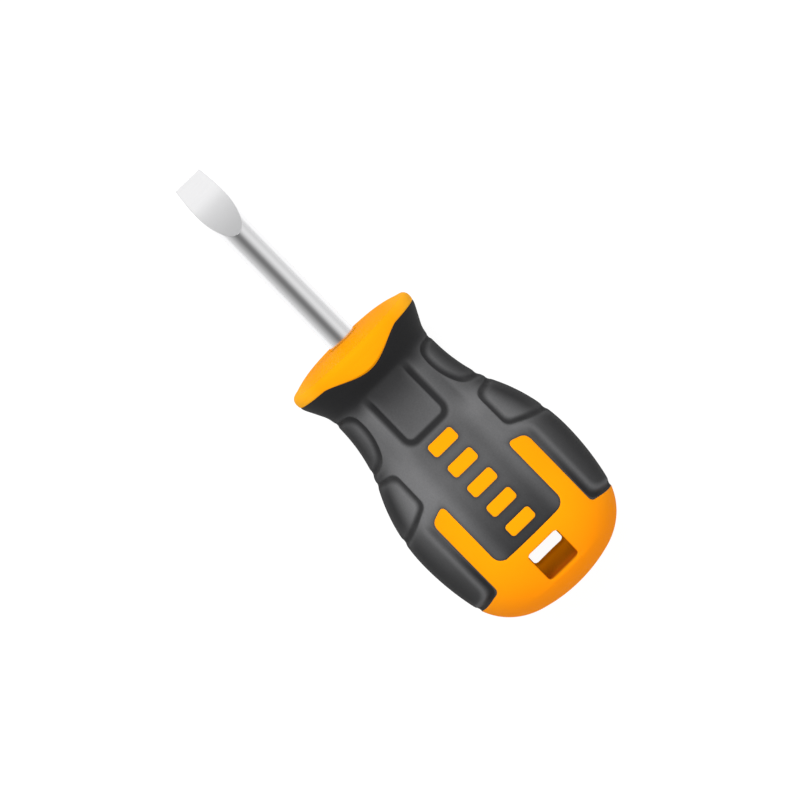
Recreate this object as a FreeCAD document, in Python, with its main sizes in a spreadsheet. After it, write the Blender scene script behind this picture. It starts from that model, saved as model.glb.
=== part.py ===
"""Stubby slotted screwdriver: a flared steel blade in a two-material moulded handle.

Frame, in millimetres: the origin is the centre of the driving tip's end face, +X runs along the tool
towards the butt, Y runs across the blade, and +Z points out of the face that carries the bars.

Four solids: the blade, the hard slug moulded round its tang, the hard handle body and the soft grip.
The handle's skin is one turned form with a flat worked on the front and the back. Simpler turned forms of
straight runs give the bed that the soft grip lies on and the floor of the grooves round its pads.
"""
import FreeCAD
import Part
import math
import os
import Sketcher

# Driving dimensions. Places along the handle are measured from its front face.
SIZES = [
    ("blade_reach", 38.0, "tip to the handle's front face"),
    ("handle_length", 58.2, "front face to the end of the butt"),
    # blade
    ("shaft_radius", 2.75, "round shaft"),
    ("tip_radius", 2.8, "half the width of the driving edge, before the flats are ground"),
    ("flare_radius", 3.27, "widest half width of the flared tip"),
    ("flare_place", 5.9, "tip to the widest point of the flare"),
    ("flare_end", 12.2, "tip to where the flare meets the shaft"),
    ("tip_half_thickness", 0.5, "driving edge"),
    ("web_half_thickness", 0.6, "where the hollow grind starts to thicken"),
    ("web_place", 5.0, "tip to the start of the thickening"),
    ("flare_curve", 20.0, "rounding along the flare"),
    ("grind_curve", 14.0, "radius of the hollow grind"),
    ("tang_length", 37.0, "blade inside the handle"),
    ("tang_chamfer", 0.8, "edge of the tang's end"),
    ("wing_half_width", 4.0, "tang wings, across"),
    ("wing_half_thickness", 0.6, "tang wings, through"),
    ("wing_start", 20.0, "front face to the wings"),
    ("wing_length", 9.0, "wings along the tang"),
    ("wing_slope", 1.5, "run of each sloped end of a wing"),
    # slug round the tang
    ("core_radius", 6.5, "slug"),
    ("core_start", 6.0, "front face to the slug"),
    ("core_length", 38.0, "slug"),
    ("key_depth", 0.8, "keying rings round the slug"),
    ("key_width", 2.4, "keying rings, along the slug"),
    ("key_start", 10.0, "end of the slug to the first keying ring"),
    ("key_pitch", 15.6, "one keying ring to the next"),
    ("key_count", 2, "keying rings"),
    # handle's outline, seen square to the flat faces
    ("face_flat", 6.0, "radius of the flat ring round the shaft"),
    ("rim_setback", 1.2, "front face to the rim's front corner"),
    ("rim_corner", 12.5, "axis to the rim's front corner"),
    ("rim_place", 2.4, "front face to the crest of the rim"),
    ("rim_radius", 13.5, "guard"),
    ("rim_curve", 4.5, "back of the guard"),
    ("neck_curve", 5.5, "hollow behind the guard"),
    ("neck_place", 9.6, "front face to the neck, where the waist starts"),
    ("waist_place", 10.9, "front face to the end of the waist"),
    ("waist_radius", 11.05, "waist"),
    ("swell_curve", 29.0, "hollow from the waist to the belly"),
    ("belly_place", 37.8, "front face to the belly"),
    ("belly_radius", 17.25, "belly"),
    ("shoulder_curve", 50.0, "belly to the heel"),
    ("heel_curve", 11.0, "heel, into the butt"),
    ("butt_curve", 28.0, "end of the butt"),
    ("flat_waist", 10.1, "axis to the flat at the waist"),
    ("flat_belly", 16.1, "axis to the flat at the belly"),
    ("flat_neck_curve", 1.6, "hollow where a flat meets the guard"),
    ("flat_slope", 35.6, "degrees at which a flat runs out behind the guard"),
    # soft grip, in plan
    ("bed_waist", 8.0, "bed of the soft grip at the waist"),
    ("bed_swell_place", 14.0, "front face to where the bed starts to widen"),
    ("bed_belly_place", 33.0, "front face to where the bed is widest"),
    ("bed_belly", 13.2, "bed of the soft grip at the belly"),
    ("bed_margin", 1.9, "bed and groove floor past the end of the side pads"),
    ("skirt_place", 3.3, "front face to the guard's edge on the grip"),
    ("tongue_half_width", 7.4, "guard's tongue, where it starts"),
    ("tongue_place", 6.8, "front face to the tongue's tip, before rounding"),
    ("tongue_curve", 7.0, "tongue's tip"),
    ("tongue_blend", 2.5, "where the tongue leaves the guard"),
    ("arm_inner", 7.7, "centre line to the inner edge of an arm"),
    ("arm_outer", 11.45, "centre line to the outer edge of an arm"),
    ("arm_top_inner", 30.7, "front face to the inner corner of an arm"),
    ("arm_top_outer", 32.2, "front face to the outer corner of an arm"),
    ("arm_round", 0.9, "corners of an arm"),
    ("panel_end", 44.6, "front face to the end of the centre panel"),
    ("panel_round", 1.9, "corners of the centre panel"),
    ("pad_end", 48.3, "front face to the end of a side pad, beside its arm"),
    ("pad_end_side", 51.9, "front face to the same end, well outside the handle"),
    ("clear_side", 20.0, "a place well outside the handle"),
    # relief in the soft grip
    ("relief_side", 3.0, "middle of the handle to where the grooves start, on its sides"),
    ("relief_depth", 0.6, "grooves, below the points where their floor follows the skin"),
    ("flat_drop", 1.0, "groove floor at the flats, below its turned part"),
    ("floor_low_place", 17.5, "front face to a bend of the groove floor in the swell"),
    ("floor_low", 11.8, "skin at that bend"),
    ("floor_mid_place", 24.0, "front face to a bend of the groove floor between swell and belly"),
    ("floor_mid", 14.15, "skin at that bend"),
    ("floor_high_place", 30.5, "front face to a bend of the groove floor in the belly"),
    ("floor_high", 16.45, "skin at that bend"),
    ("floor_end", 16.0, "skin at the end of the side pads"),
    ("pad_groove", 0.75, "width of the groove round a pad"),
    ("thumb_groove", 1.0, "width of the groove round the thumb panel"),
    ("thumb_half_width", 5.05, "thumb panel, outside its groove"),
    ("thumb_start", 7.6, "front face to the thumb panel"),
    ("thumb_end", 20.2, "front face to the thumb panel's end"),
    ("thumb_round", 1.5, "corners of the thumb panel"),
    ("neck_pad_start", 9.0, "front face to the neck pad"),
    ("neck_pad_end", 20.1, "front face to the end of the neck pad"),
    ("neck_pad_front", 8.36, "centre line to the neck pad, at its front"),
    ("neck_pad_back", 9.91, "centre line to the neck pad, at its back"),
    ("neck_pad_curve", 11.9, "inner edge of the neck pad"),
    ("swell_pad_start", 21.7, "front face to the swell pad"),
    ("swell_pad_inner", 9.6, "centre line to the swell pad"),
    ("swell_pad_corner", 28.8, "front face to the corner where the swell pad turns out"),
    ("swell_pad_end", 34.7, "front face to the swell pad's end, well outside the handle"),
    # bars and hanging hole
    ("bar_count", 5, "flush bars on the front"),
    ("bar_pitch", 4.6, "one bar to the next"),
    ("bar_start", 22.1, "front face to the first bar"),
    ("bar_width", 2.4, "bar, along the handle"),
    ("bar_half_length", 2.7, "bar, across the handle"),
    ("bar_round", 0.6, "corners of a bar"),
    ("hole_place", 46.6, "front face to the hanging hole"),
    ("hole_length", 6.4, "hanging hole, along the handle"),
    ("hole_half_width", 3.45, "hanging hole, across the handle"),
    ("hole_round", 0.7, "corners of the hanging hole"),
]

document = FreeCAD.newDocument("screwdriver")
sheet = document.addObject("Spreadsheet::Sheet", "sizes")
for row, (alias, value, meaning) in enumerate(SIZES, start=1):
    sheet.set(f"A{row}", meaning)
    sheet.set(f"B{row}", str(value))
    sheet.setAlias(f"B{row}", alias)
document.recompute()
NAMES = {alias for alias, value, meaning in SIZES}


def amount(text):
    """The value of a sum of sheet names and plain numbers, such as 'blade_reach + rim_place'."""
    total, sign = 0.0, 1.0
    for word in text.split():
        if word in "+-":
            sign = 1.0 if word == "+" else -1.0
        else:
            total += sign * (float(sheet.get(word)) if word in NAMES else float(word))
    return total


def bound(text):
    """The same sum as a FreeCAD expression on the sheet."""
    return " ".join(f"sizes.{word}" if word in NAMES else word for word in text.split())


def along(place):
    """A place on the handle, measured from the tip."""
    return f"blade_reach + {place}"


def minus(text):
    """The same sum with every sign turned, for the other side of the centre line."""
    words = text.split()
    words = words if words[0] in "+-" else ["+"] + words
    turned = ["-" if word == "+" else "+" if word == "-" else word for word in words]
    return " ".join(turned[1:] if turned[0] == "+" else turned)


def both_sides(corners):
    """An outline's corners on the +Y side, in a row along it, followed by their mirror images."""
    return corners + [(x, minus(y), rounding) for x, y, rounding in reversed(corners)]


class Outline:
    """A sketch on one of its own body's origin planes, held by the sheet's sizes."""

    def __init__(self, body, plane, name):
        self.sketch = body.newObject("Sketcher::SketchObject", name)
        origin_plane = next(f for f in body.Origin.OriginFeatures if f.Role == plane)
        self.sketch.AttachmentSupport = (origin_plane, [""])
        self.sketch.MapMode = "FlatFace"

    def line(self, start, end):
        return self.sketch.addGeometry(Part.LineSegment(FreeCAD.Vector(*start), FreeCAD.Vector(*end)))

    def arc(self, centre, radius, first_degrees, last_degrees):
        circle = Part.Circle(FreeCAD.Vector(*centre), FreeCAD.Vector(0, 0, 1), radius)
        ends = math.radians(first_degrees), math.radians(last_degrees)
        return self.sketch.addGeometry(Part.ArcOfCircle(circle, *ends))

    def size(self, kind, *where_and_size):
        """One dimension, bound to the sheet."""
        *where, text = where_and_size
        count = self.sketch.addConstraint(Sketcher.Constraint(kind, *where, amount(text)))
        self.sketch.setExpression(f"Constraints[{count}]", bound(text))

    def hold(self, curve, end, x, y):
        """Holds a point of a curve at x, y. An end of 1 is the start, 2 the end and 3 the centre."""
        self.size("DistanceX", -1, 1, curve, end, x)
        self.size("DistanceY", -1, 1, curve, end, y)

    def slant(self, line, degrees):
        """Holds a line that falls to the right at an angle to the sketch's horizontal."""
        angle = -math.radians(amount(degrees))
        count = self.sketch.addConstraint(Sketcher.Constraint("Angle", line, angle))
        self.sketch.setExpression(f"Constraints[{count}]", bound(minus(degrees)))

    def join(self, first, first_end, second, second_end, kind="Coincident"):
        self.sketch.addConstraint(Sketcher.Constraint(kind, first, first_end, second, second_end))

    def polygon(self, corners):
        """A closed outline of straight runs. Each corner is x, y and the size that rounds it, or None.

        A rounded corner keeps its own point, on the lines of both runs, so the sizes stay those of
        the sharp outline.
        """
        points = [FreeCAD.Vector(amount(x), amount(y)) for x, y, rounding in corners]
        count = len(points)
        cuts = []
        for index, point in enumerate(points):
            before = (points[index - 1] - point).normalize()
            after = (points[(index + 1) % count] - point).normalize()
            rounding = corners[index][2]
            half = before.getAngle(after) / 2
            back = amount(rounding) / math.tan(half) if rounding else 0.0
            centre = point
            if rounding:
                centre = point + (before + after).normalize() * (amount(rounding) / math.sin(half))
            cuts.append((point + before * back, point + after * back, centre))
        runs = [self.line(cuts[i][1], cuts[(i + 1) % count][0]) for i in range(count)]
        for index, (x, y, rounding) in enumerate(corners):
            arriving, leaving = runs[index - 1], runs[index]
            if not rounding:
                self.join(arriving, 2, leaving, 1)
                self.hold(leaving, 1, x, y)
                continue
            first, last, centre = cuts[index]
            from_centre = [math.degrees(math.atan2(p.y - centre.y, p.x - centre.x)) for p in (first, last)]
            turns_left = (from_centre[1] - from_centre[0]) % 360 < 180
            ends = from_centre if turns_left else from_centre[::-1]
            bend = self.arc(centre, amount(rounding), *ends)
            self.join(arriving, 2, bend, 1 if turns_left else 2, "Tangent")
            self.join(leaving, 1, bend, 2 if turns_left else 1, "Tangent")
            self.size("Radius", bend, rounding)
            corner = self.sketch.addGeometry(Part.Point(points[index]), True)
            self.hold(corner, 1, x, y)
            for run in (arriving, leaving):
                self.sketch.addConstraint(Sketcher.Constraint("PointOnObject", corner, 1, run))


def new_body(name):
    return document.addObject("PartDesign::Body", name)


def add_feature(body, kind, name, outline, **settings):
    """A PartDesign feature on an outline, in front of the body's last one."""
    feature = body.newObject(f"PartDesign::{kind}", name)
    feature.Profile = outline.sketch
    for setting, value in settings.items():
        setattr(feature, setting, value)
    body.Tip = feature
    return feature


def mirror_feature(body, feature, plane, name):
    """The same feature again on the other side of an origin plane."""
    document.recompute()
    copy = body.newObject("PartDesign::Mirrored", name)
    copy.Originals = [feature]
    copy.MirrorPlane = (next(f for f in body.Origin.OriginFeatures if f.Role == plane), [""])
    body.Tip = copy
    return copy


def boolean(kind, name, base, tool):
    """A Part::Cut or Part::Common of two objects."""
    result = document.addObject(f"Part::{kind}", name)
    result.Base = base
    result.Tool = tool
    return result


# ---------------------------------------------------------------- the handle's turned form

def add_flank(outline, neck_curve, waist, belly, shoulder_turn):
    """The long side of the handle: neck, waist, swell, belly and shoulder, in a smooth row.

    The waist is straight and the rest are arcs. The belly and the shoulder meet at the belly's crest.
    The belly's own radius follows from meeting the swell smoothly. shoulder_turn is where the
    shoulder's arc ends, in degrees. Returns the neck's arc and the shoulder's arc.
    """
    neck_x, waist_x, belly_x = along("neck_place"), along("waist_place"), along("belly_place")
    waist_at, belly_at = amount(waist), amount(belly)
    run = amount(belly_x) - amount(waist_x)
    slope = 2 * math.atan((belly_at - waist_at) / run)
    degrees = math.degrees(slope)
    belly_curve = run / math.sin(slope) - amount("swell_curve")

    neck_centre = (amount(neck_x), waist_at + amount(neck_curve))
    neck = outline.arc(neck_centre, amount(neck_curve), -118, -90)
    outline.hold(neck, 2, neck_x, waist)
    outline.size("DistanceX", -1, 1, neck, 3, neck_x)
    outline.size("Radius", neck, neck_curve)

    land = outline.line((amount(neck_x), waist_at), (amount(waist_x), waist_at))
    outline.join(neck, 2, land, 1)
    outline.hold(land, 2, waist_x, waist)

    swell_centre = (amount(waist_x), waist_at + amount("swell_curve"))
    swell = outline.arc(swell_centre, amount("swell_curve"), -90, -90 + degrees)
    outline.join(land, 2, swell, 1)
    outline.size("DistanceX", -1, 1, swell, 3, waist_x)
    outline.size("Radius", swell, "swell_curve")

    belly_arc = outline.arc((amount(belly_x), belly_at - belly_curve), belly_curve, 90, 90 + degrees)
    outline.hold(belly_arc, 1, belly_x, belly)
    outline.size("DistanceX", -1, 1, belly_arc, 3, belly_x)
    outline.join(swell, 2, belly_arc, 2, "Tangent")

    shoulder_centre = (amount(belly_x), belly_at - amount("shoulder_curve"))
    shoulder = outline.arc(shoulder_centre, amount("shoulder_curve"), shoulder_turn, 90)
    outline.join(shoulder, 2, belly_arc, 1)
    outline.size("DistanceX", -1, 1, shoulder, 3, belly_x)
    outline.size("Radius", shoulder, "shoulder_curve")
    return neck, shoulder


def meeting_of_circles(first, first_radius, second, second_radius):
    """The upper point at the given distances from two centres."""
    gap = second - first
    reach = (gap.Length ** 2 + first_radius ** 2 - second_radius ** 2) / (2 * gap.Length)
    rise = math.sqrt(first_radius ** 2 - reach ** 2)
    unit = gap / gap.Length
    across = FreeCAD.Vector(-unit.y, unit.x)
    choices = [first + unit * reach + across * rise, first + unit * reach - across * rise]
    return max(choices, key=lambda point: point.y)


def place_heel():
    """The heel's centre, which touches shoulder and butt from inside, and where its arc starts and ends."""
    shoulder_centre = FreeCAD.Vector(amount(along("belly_place")), amount("belly_radius - shoulder_curve"))
    butt_centre = FreeCAD.Vector(amount(along("handle_length - butt_curve")), 0)
    centre = meeting_of_circles(shoulder_centre, amount("shoulder_curve - heel_curve"),
                                butt_centre, amount("butt_curve - heel_curve"))
    butt_turn, shoulder_turn = (math.degrees(math.atan2(centre.y - other.y, centre.x - other.x))
                                for other in (butt_centre, shoulder_centre))
    return centre, butt_centre, butt_turn, shoulder_turn


def add_butt(outline, shoulder):
    """The heel and the end of the butt, after the shoulder. Returns the butt's arc."""
    heel_centre, butt_centre, butt_turn, shoulder_turn = place_heel()
    heel = outline.arc(heel_centre, amount("heel_curve"), butt_turn, shoulder_turn)
    outline.size("Radius", heel, "heel_curve")
    outline.join(heel, 2, shoulder, 1, "Tangent")
    butt = outline.arc(butt_centre, amount("butt_curve"), 0, butt_turn)
    outline.hold(butt, 1, along("handle_length"), "0")
    outline.size("DistanceY", -1, 1, butt, 3, "0")
    outline.size("Radius", butt, "butt_curve")
    outline.join(butt, 2, heel, 1, "Tangent")
    return butt


def add_guard_back(outline, neck):
    """The back of the guard: its rounded crest and the straight slope into the neck."""
    crest, curve = (amount(along("rim_place")), amount("rim_radius")), amount("rim_curve")
    back = outline.arc((crest[0], crest[1] - curve), curve, 64, 90)
    outline.hold(back, 2, along("rim_place"), "rim_radius")
    outline.size("DistanceX", -1, 1, back, 3, along("rim_place"))
    outline.size("Radius", back, "rim_curve")
    slope = outline.line(outline.sketch.Geometry[back].StartPoint, outline.sketch.Geometry[neck].StartPoint)
    outline.join(back, 1, slope, 1, "Tangent")
    outline.join(neck, 1, slope, 2, "Tangent")
    return back


def add_guard_front(outline, back):
    """The guard's front: a flat ring round the shaft, a shallow cone and the rim's front corner."""
    places = [("blade_reach", "0"), ("blade_reach", "face_flat"), (along("rim_setback"), "rim_corner")]
    crest = (amount(along("rim_place")), amount("rim_radius"))
    points = [(amount(x), amount(y)) for x, y in places] + [crest]
    runs = [outline.line(first, second) for first, second in zip(points, points[1:])]
    for run, (x, y) in zip(runs, places):
        outline.hold(run, 1, x, y)
    for first, second in zip(runs, runs[1:]):
        outline.join(first, 2, second, 1)
    outline.join(runs[-1], 2, back, 2)
    return runs[0]


def cut_flats(body):
    """Takes a long hollow-and-crowned flat off the front and the back of the turned skin."""
    side = Outline(body, "XZ_Plane", "flat_profile")
    far, top = f"{along('handle_length')} + 2", "clear_side"
    reach = amount(f"{far} - blade_reach - belly_place")
    shoulder_turn = math.degrees(math.acos(reach / amount("shoulder_curve")))
    neck, shoulder = add_flank(side, "flat_neck_curve", "flat_waist", "flat_belly", shoulder_turn)
    geometry = side.sketch.Geometry
    neck_point = geometry[neck].StartPoint
    rise = amount(top) - neck_point.y
    slope_start = (neck_point.x - rise / math.tan(math.radians(amount("flat_slope"))), amount(top))
    slope = side.line(slope_start, neck_point)
    lid = side.line(slope_start, (amount(far), amount(top)))
    end = side.line((amount(far), amount(top)), geometry[shoulder].StartPoint)
    side.join(neck, 1, slope, 2, "Tangent")
    side.join(slope, 1, lid, 1)
    side.join(lid, 2, end, 1)
    side.join(end, 2, shoulder, 1)
    side.size("DistanceY", -1, 1, lid, 1, top)
    side.hold(lid, 2, far, top)
    side.size("DistanceX", -1, 1, shoulder, 1, far)
    side.slant(slope, "flat_slope")
    flat = add_feature(body, "Pocket", "front_flat", side, Type="ThroughAll", SideType="Symmetric")
    mirror_feature(body, flat, "XY_Plane", "back_flat")


def make_skin():
    """The handle's outer form as one body."""
    body = new_body("skin")
    profile = Outline(body, "XY_Plane", "skin_profile")
    neck, shoulder = add_flank(profile, "neck_curve", "waist_radius", "belly_radius", place_heel()[3])
    butt = add_butt(profile, shoulder)
    front = add_guard_front(profile, add_guard_back(profile, neck))
    geometry = profile.sketch.Geometry
    axis = profile.line(geometry[butt].StartPoint, geometry[front].StartPoint)
    profile.join(butt, 1, axis, 1)
    profile.join(front, 1, axis, 2)
    add_feature(body, "Revolution", "skin_turned", profile,
                ReferenceAxis=(profile.sketch, ["H_Axis"]), Angle=360.0)
    cut_flats(body)
    return body


def make_bed():
    """The turned bed that the soft grip lies on, from inside the guard to past the side pads."""
    return turned_polygon("grip_bed", [
        (along("rim_place"), "0", None),
        (along("rim_place"), "bed_waist", None),
        (along("bed_swell_place"), "bed_waist", None),
        (along("bed_belly_place"), "bed_belly", None),
        (along("pad_end + bed_margin"), "bed_belly", None),
        (along("pad_end + bed_margin"), "0", None),
    ])[0]


def make_groove_floor():
    """A form of straight runs a groove's depth inside the skin, lower again at the flats."""
    places = [("rim_place", "waist_radius"), ("waist_place", "waist_radius"),
              ("floor_low_place", "floor_low"), ("floor_mid_place", "floor_mid"),
              ("floor_high_place", "floor_high"), ("belly_place", "belly_radius"),
              ("pad_end + bed_margin", "floor_end")]
    run = [(along(place), f"{radius} - relief_depth", None) for place, radius in places]
    start, end = run[0][0], run[-1][0]
    body, outline = turned_polygon("groove_floor", [(start, "0", None)] + run + [(end, "0", None)])
    side = Outline(body, "XZ_Plane", "floor_flat_profile")
    lowered = [(x, f"{radius} - flat_drop", None) for x, radius, rounding in run]
    side.polygon([(start, "clear_side", None)] + lowered + [(end, "clear_side", None)])
    flat = add_feature(body, "Pocket", "floor_front_flat", side, Type="ThroughAll", SideType="Symmetric")
    mirror_feature(body, flat, "XY_Plane", "floor_back_flat")
    return body


def turned_polygon(name, corners):
    """A body turned round the tool's axis from an outline of straight runs."""
    body = new_body(name)
    outline = Outline(body, "XY_Plane", f"{name}_profile")
    outline.polygon(corners)
    add_feature(body, "Revolution", f"{name}_turned", outline,
                ReferenceAxis=(outline.sketch, ["H_Axis"]), Angle=360.0)
    return body, outline


# ---------------------------------------------------------------- blade and slug

def make_blade():
    """Round shaft and flared tip turned in one, then hollow ground on both faces, with a winged tang."""
    tang_end = along("tang_length")
    body, profile = turned_polygon("blade", [
        ("0", "0", None),
        ("0", "tip_radius", None),
        ("flare_place", "flare_radius", "flare_curve"),
        ("flare_end", "shaft_radius", "flare_curve"),
        (f"{tang_end} - tang_chamfer", "shaft_radius", None),
        (tang_end, "shaft_radius - tang_chamfer", None),
        (tang_end, "0", None),
    ])

    grind = Outline(body, "XZ_Plane", "grind_profile")
    lift, top = amount("web_half_thickness + grind_curve"), amount("clear_side")
    finish = amount("flare_radius + 1")
    rise = math.degrees(math.asin((lift - finish) / amount("grind_curve")))
    web = (amount("web_place"), amount("web_half_thickness"))
    hollow = grind.arc((web[0], lift), amount("grind_curve"), -90, -rise)
    grind.hold(hollow, 1, "web_place", "web_half_thickness")
    grind.size("DistanceX", -1, 1, hollow, 3, "web_place")
    grind.size("Radius", hollow, "grind_curve")
    grind.size("DistanceY", -1, 1, hollow, 2, "flare_radius + 1")
    hollow_end = grind.sketch.Geometry[hollow].EndPoint
    edge = (0, amount("tip_half_thickness"))
    corners = [hollow_end, (hollow_end.x, top), (-1, top), (-1, edge[1]), edge, web]
    runs = [grind.line(first, second) for first, second in zip(corners, corners[1:])]
    for first, second in zip(runs, runs[1:]):
        grind.join(first, 2, second, 1)
    grind.join(hollow, 2, runs[0], 1)
    grind.join(runs[-1], 2, hollow, 1)
    grind.sketch.addConstraint(Sketcher.Constraint("Vertical", runs[0]))
    grind.hold(runs[2], 1, "- 1", "clear_side")
    grind.hold(runs[3], 1, "- 1", "tip_half_thickness")
    grind.hold(runs[4], 1, "0", "tip_half_thickness")
    grind.sketch.addConstraint(Sketcher.Constraint("Horizontal", runs[1]))
    front = add_feature(body, "Pocket", "front_grind", grind, Type="ThroughAll", SideType="Symmetric")
    mirror_feature(body, front, "XY_Plane", "back_grind")

    wings = Outline(body, "XY_Plane", "wing_plan")
    start, end = along("wing_start"), along("wing_start + wing_length")
    wings.polygon(both_sides([
        (start, "shaft_radius - tip_half_thickness", None),
        (f"{start} + wing_slope", "wing_half_width", None),
        (f"{end} - wing_slope", "wing_half_width", None),
        (end, "shaft_radius - tip_half_thickness", None),
    ]))
    pad = add_feature(body, "Pad", "wings", wings, SideType="Symmetric")
    pad.setExpression("Length", "2 * sizes.wing_half_thickness")
    return body


def make_core(blade):
    """The slug that is moulded round the tang, with rings that key the next shot to it."""
    start, end = along("core_start"), along("core_start + core_length")
    body, profile = turned_polygon("core_blank", [
        (start, "0", None),
        (start, "core_radius", None),
        (end, "core_radius", None),
        (end, "0", None),
    ])
    ring = Outline(body, "XY_Plane", "key_profile")
    left = f"{start} + key_start"
    right = f"{left} + key_width"
    ring.polygon([(left, "core_radius - key_depth", None), (right, "core_radius - key_depth", None),
                  (right, "core_radius + 1", None), (left, "core_radius + 1", None)])
    groove = add_feature(body, "Groove", "key_ring", ring,
                         ReferenceAxis=(ring.sketch, ["H_Axis"]), Angle=360.0)
    repeat_feature(body, groove, ring, "key_rings", "key_pitch", "key_count")
    return boolean("Cut", "inner_core", body, blade)


def repeat_feature(body, feature, outline, name, pitch, count):
    """The same feature again at a pitch along the tool."""
    document.recompute()
    row = body.newObject("PartDesign::LinearPattern", name)
    row.Originals = [feature]
    row.Direction = (outline.sketch, ["H_Axis"])
    row.Mode = "Spacing"
    row.setExpression("Occurrences", f"sizes.{count}")
    row.setExpression("Offset", f"sizes.{pitch}")
    body.Tip = row


# ---------------------------------------------------------------- soft grip

def make_plan(name, corners, symmetric=True):
    """A prism through the handle on a plan outline, both ways from the middle or only to the front."""
    body = new_body(name)
    outline = Outline(body, "XY_Plane", f"{name}_outline")
    outline.polygon(corners)
    settings = {"SideType": "Symmetric"} if symmetric else {}
    pad = add_feature(body, "Pad", f"{name}_prism", outline, **settings)
    pad.setExpression("Length", "2 * sizes.clear_side" if symmetric else "sizes.clear_side")
    return body, pad, outline


def make_groove(name, corners, width):
    """A ring-shaped cutter as wide as the groove, just inside a closed plan outline."""
    body = new_body(f"{name}_plan")
    outline = Outline(body, "XY_Plane", f"{name}_outline")
    outline.polygon(corners)
    return cutter_from(name, outline, width)


def cutter_from(name, outline, width):
    """Extrudes the strip between an outline and the same outline drawn in by the groove's width."""
    strip = document.addObject("Part::Offset2D", f"{name}_strip")
    strip.Source = outline.sketch
    strip.Fill = True
    strip.Join = "Intersection"
    strip.setExpression("Value", f"-sizes.{width}")
    cutter = document.addObject("Part::Extrusion", f"{name}_cutter")
    cutter.Base = strip
    cutter.DirMode = "Custom"
    cutter.Dir = FreeCAD.Vector(0, 0, 1)
    cutter.Solid = True
    cutter.Symmetric = True
    cutter.setExpression("LengthFwd", "2 * sizes.clear_side")
    return cutter


def mirrored(cutter):
    """A cutter's twin on the other side of the tool."""
    twin = document.addObject("Part::Mirroring", f"{cutter.Name}_twin")
    twin.Source = cutter
    twin.Normal = FreeCAD.Vector(0, 1, 0)
    return twin


def neck_pad_outline():
    """The neck pad is a D: an arc towards the centre line, open to the side of the handle."""
    outline = Outline(new_body("neck_pad_plan"), "XY_Plane", "neck_pad_outline")
    front, back = along("neck_pad_start"), along("neck_pad_end")
    first = FreeCAD.Vector(amount(front), amount("neck_pad_front"))
    last = FreeCAD.Vector(amount(back), amount("neck_pad_back"))
    centre = meeting_of_circles(first, amount("neck_pad_curve"), last, amount("neck_pad_curve"))
    turns = [math.degrees(math.atan2(p.y - centre.y, p.x - centre.x)) for p in (first, last)]
    inner = outline.arc(centre, amount("neck_pad_curve"), *turns)
    outline.hold(inner, 1, front, "neck_pad_front")
    outline.hold(inner, 2, back, "neck_pad_back")
    outline.size("Radius", inner, "neck_pad_curve")
    top = amount("clear_side")
    corners = [last, (last.x, top), (first.x, top), first]
    runs = [outline.line(one, two) for one, two in zip(corners, corners[1:])]
    outline.join(inner, 2, runs[0], 1)
    outline.join(runs[0], 2, runs[1], 1)
    outline.join(runs[1], 2, runs[2], 1)
    outline.join(runs[2], 2, inner, 1)
    outline.hold(runs[1], 1, back, "clear_side")
    outline.hold(runs[1], 2, front, "clear_side")
    return outline


def make_cutters():
    """Every groove in the soft grip: round the thumb panel and round three pads on each side.

    The belly pad's own groove runs along the arm and round the pad's end, because the swell pad's
    groove bounds it at the front.
    """
    swell_pad = [(along("swell_pad_start"), "clear_side"), (along("swell_pad_start"), "swell_pad_inner"),
                 (along("swell_pad_corner"), "swell_pad_inner"), (along("swell_pad_end"), "clear_side")]
    belly_pad = [(along("arm_top_outer"), "arm_outer"), (along("pad_end"), "arm_outer"),
                 (along("pad_end_side"), "clear_side"), (along("pad_end_side - pad_groove"), "clear_side"),
                 (along("pad_end - pad_groove"), "arm_outer + pad_groove"),
                 (along("arm_top_outer"), "arm_outer + pad_groove")]
    thumb = both_sides([(along("thumb_start"), "thumb_half_width", None),
                        (along("thumb_end"), "thumb_half_width", "thumb_round")])
    side = [cutter_from("neck_pad", neck_pad_outline(), "pad_groove"),
            make_groove("swell_pad", [(x, y, None) for x, y in swell_pad], "pad_groove"),
            make_plan("belly_pad", [(x, y, None) for x, y in belly_pad])[0]]
    return [make_groove("thumb_panel", thumb, "thumb_groove")] + side + [mirrored(c) for c in side]


def make_side_band():
    """A slab through the middle of the handle, where no groove is cut, so that the sides stay smooth."""
    body = new_body("side_band")
    outline = Outline(body, "XZ_Plane", "side_band_profile")
    start, end = "blade_reach", along("handle_length")
    outline.polygon([(start, "- relief_side", None), (end, "- relief_side", None),
                     (end, "relief_side", None), (start, "relief_side", None)])
    slab = add_feature(body, "Pad", "side_band_slab", outline, SideType="Symmetric")
    slab.setExpression("Length", "2 * sizes.clear_side")
    return body


def grip_corners():
    """The soft grip in plan, from the guard's tongue round the side pads and arms to the centre panel."""
    tongue_tip = (along("tongue_place"), "0", "tongue_curve")
    return [tongue_tip] + both_sides([
        (along("skirt_place"), "tongue_half_width", "tongue_blend"),
        (along("skirt_place"), "clear_side", None),
        (along("pad_end_side"), "clear_side", None),
        (along("pad_end"), "arm_outer", None),
        (along("arm_top_outer"), "arm_outer", "arm_round"),
        (along("arm_top_inner"), "arm_inner", "arm_round"),
        (along("panel_end"), "arm_inner", "panel_round"),
    ])


def make_bars():
    """Plain bars across the centre panel, as prisms from the middle of the handle out to the front."""
    start, end = along("bar_start"), along("bar_start + bar_width")
    corners = both_sides([(start, "bar_half_length", "bar_round"), (end, "bar_half_length", "bar_round")])
    body, first_bar, outline = make_plan("bars", corners, symmetric=False)
    repeat_feature(body, first_bar, outline, "bar_row", "bar_pitch", "bar_count")
    return body


def make_hanging_hole():
    """A rectangular prism through the butt."""
    start, end = along("hole_place"), along("hole_place + hole_length")
    corners = both_sides([(start, "hole_half_width", "hole_round"), (end, "hole_half_width", "hole_round")])
    return make_plan("hanging_hole", corners)[0]


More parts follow.
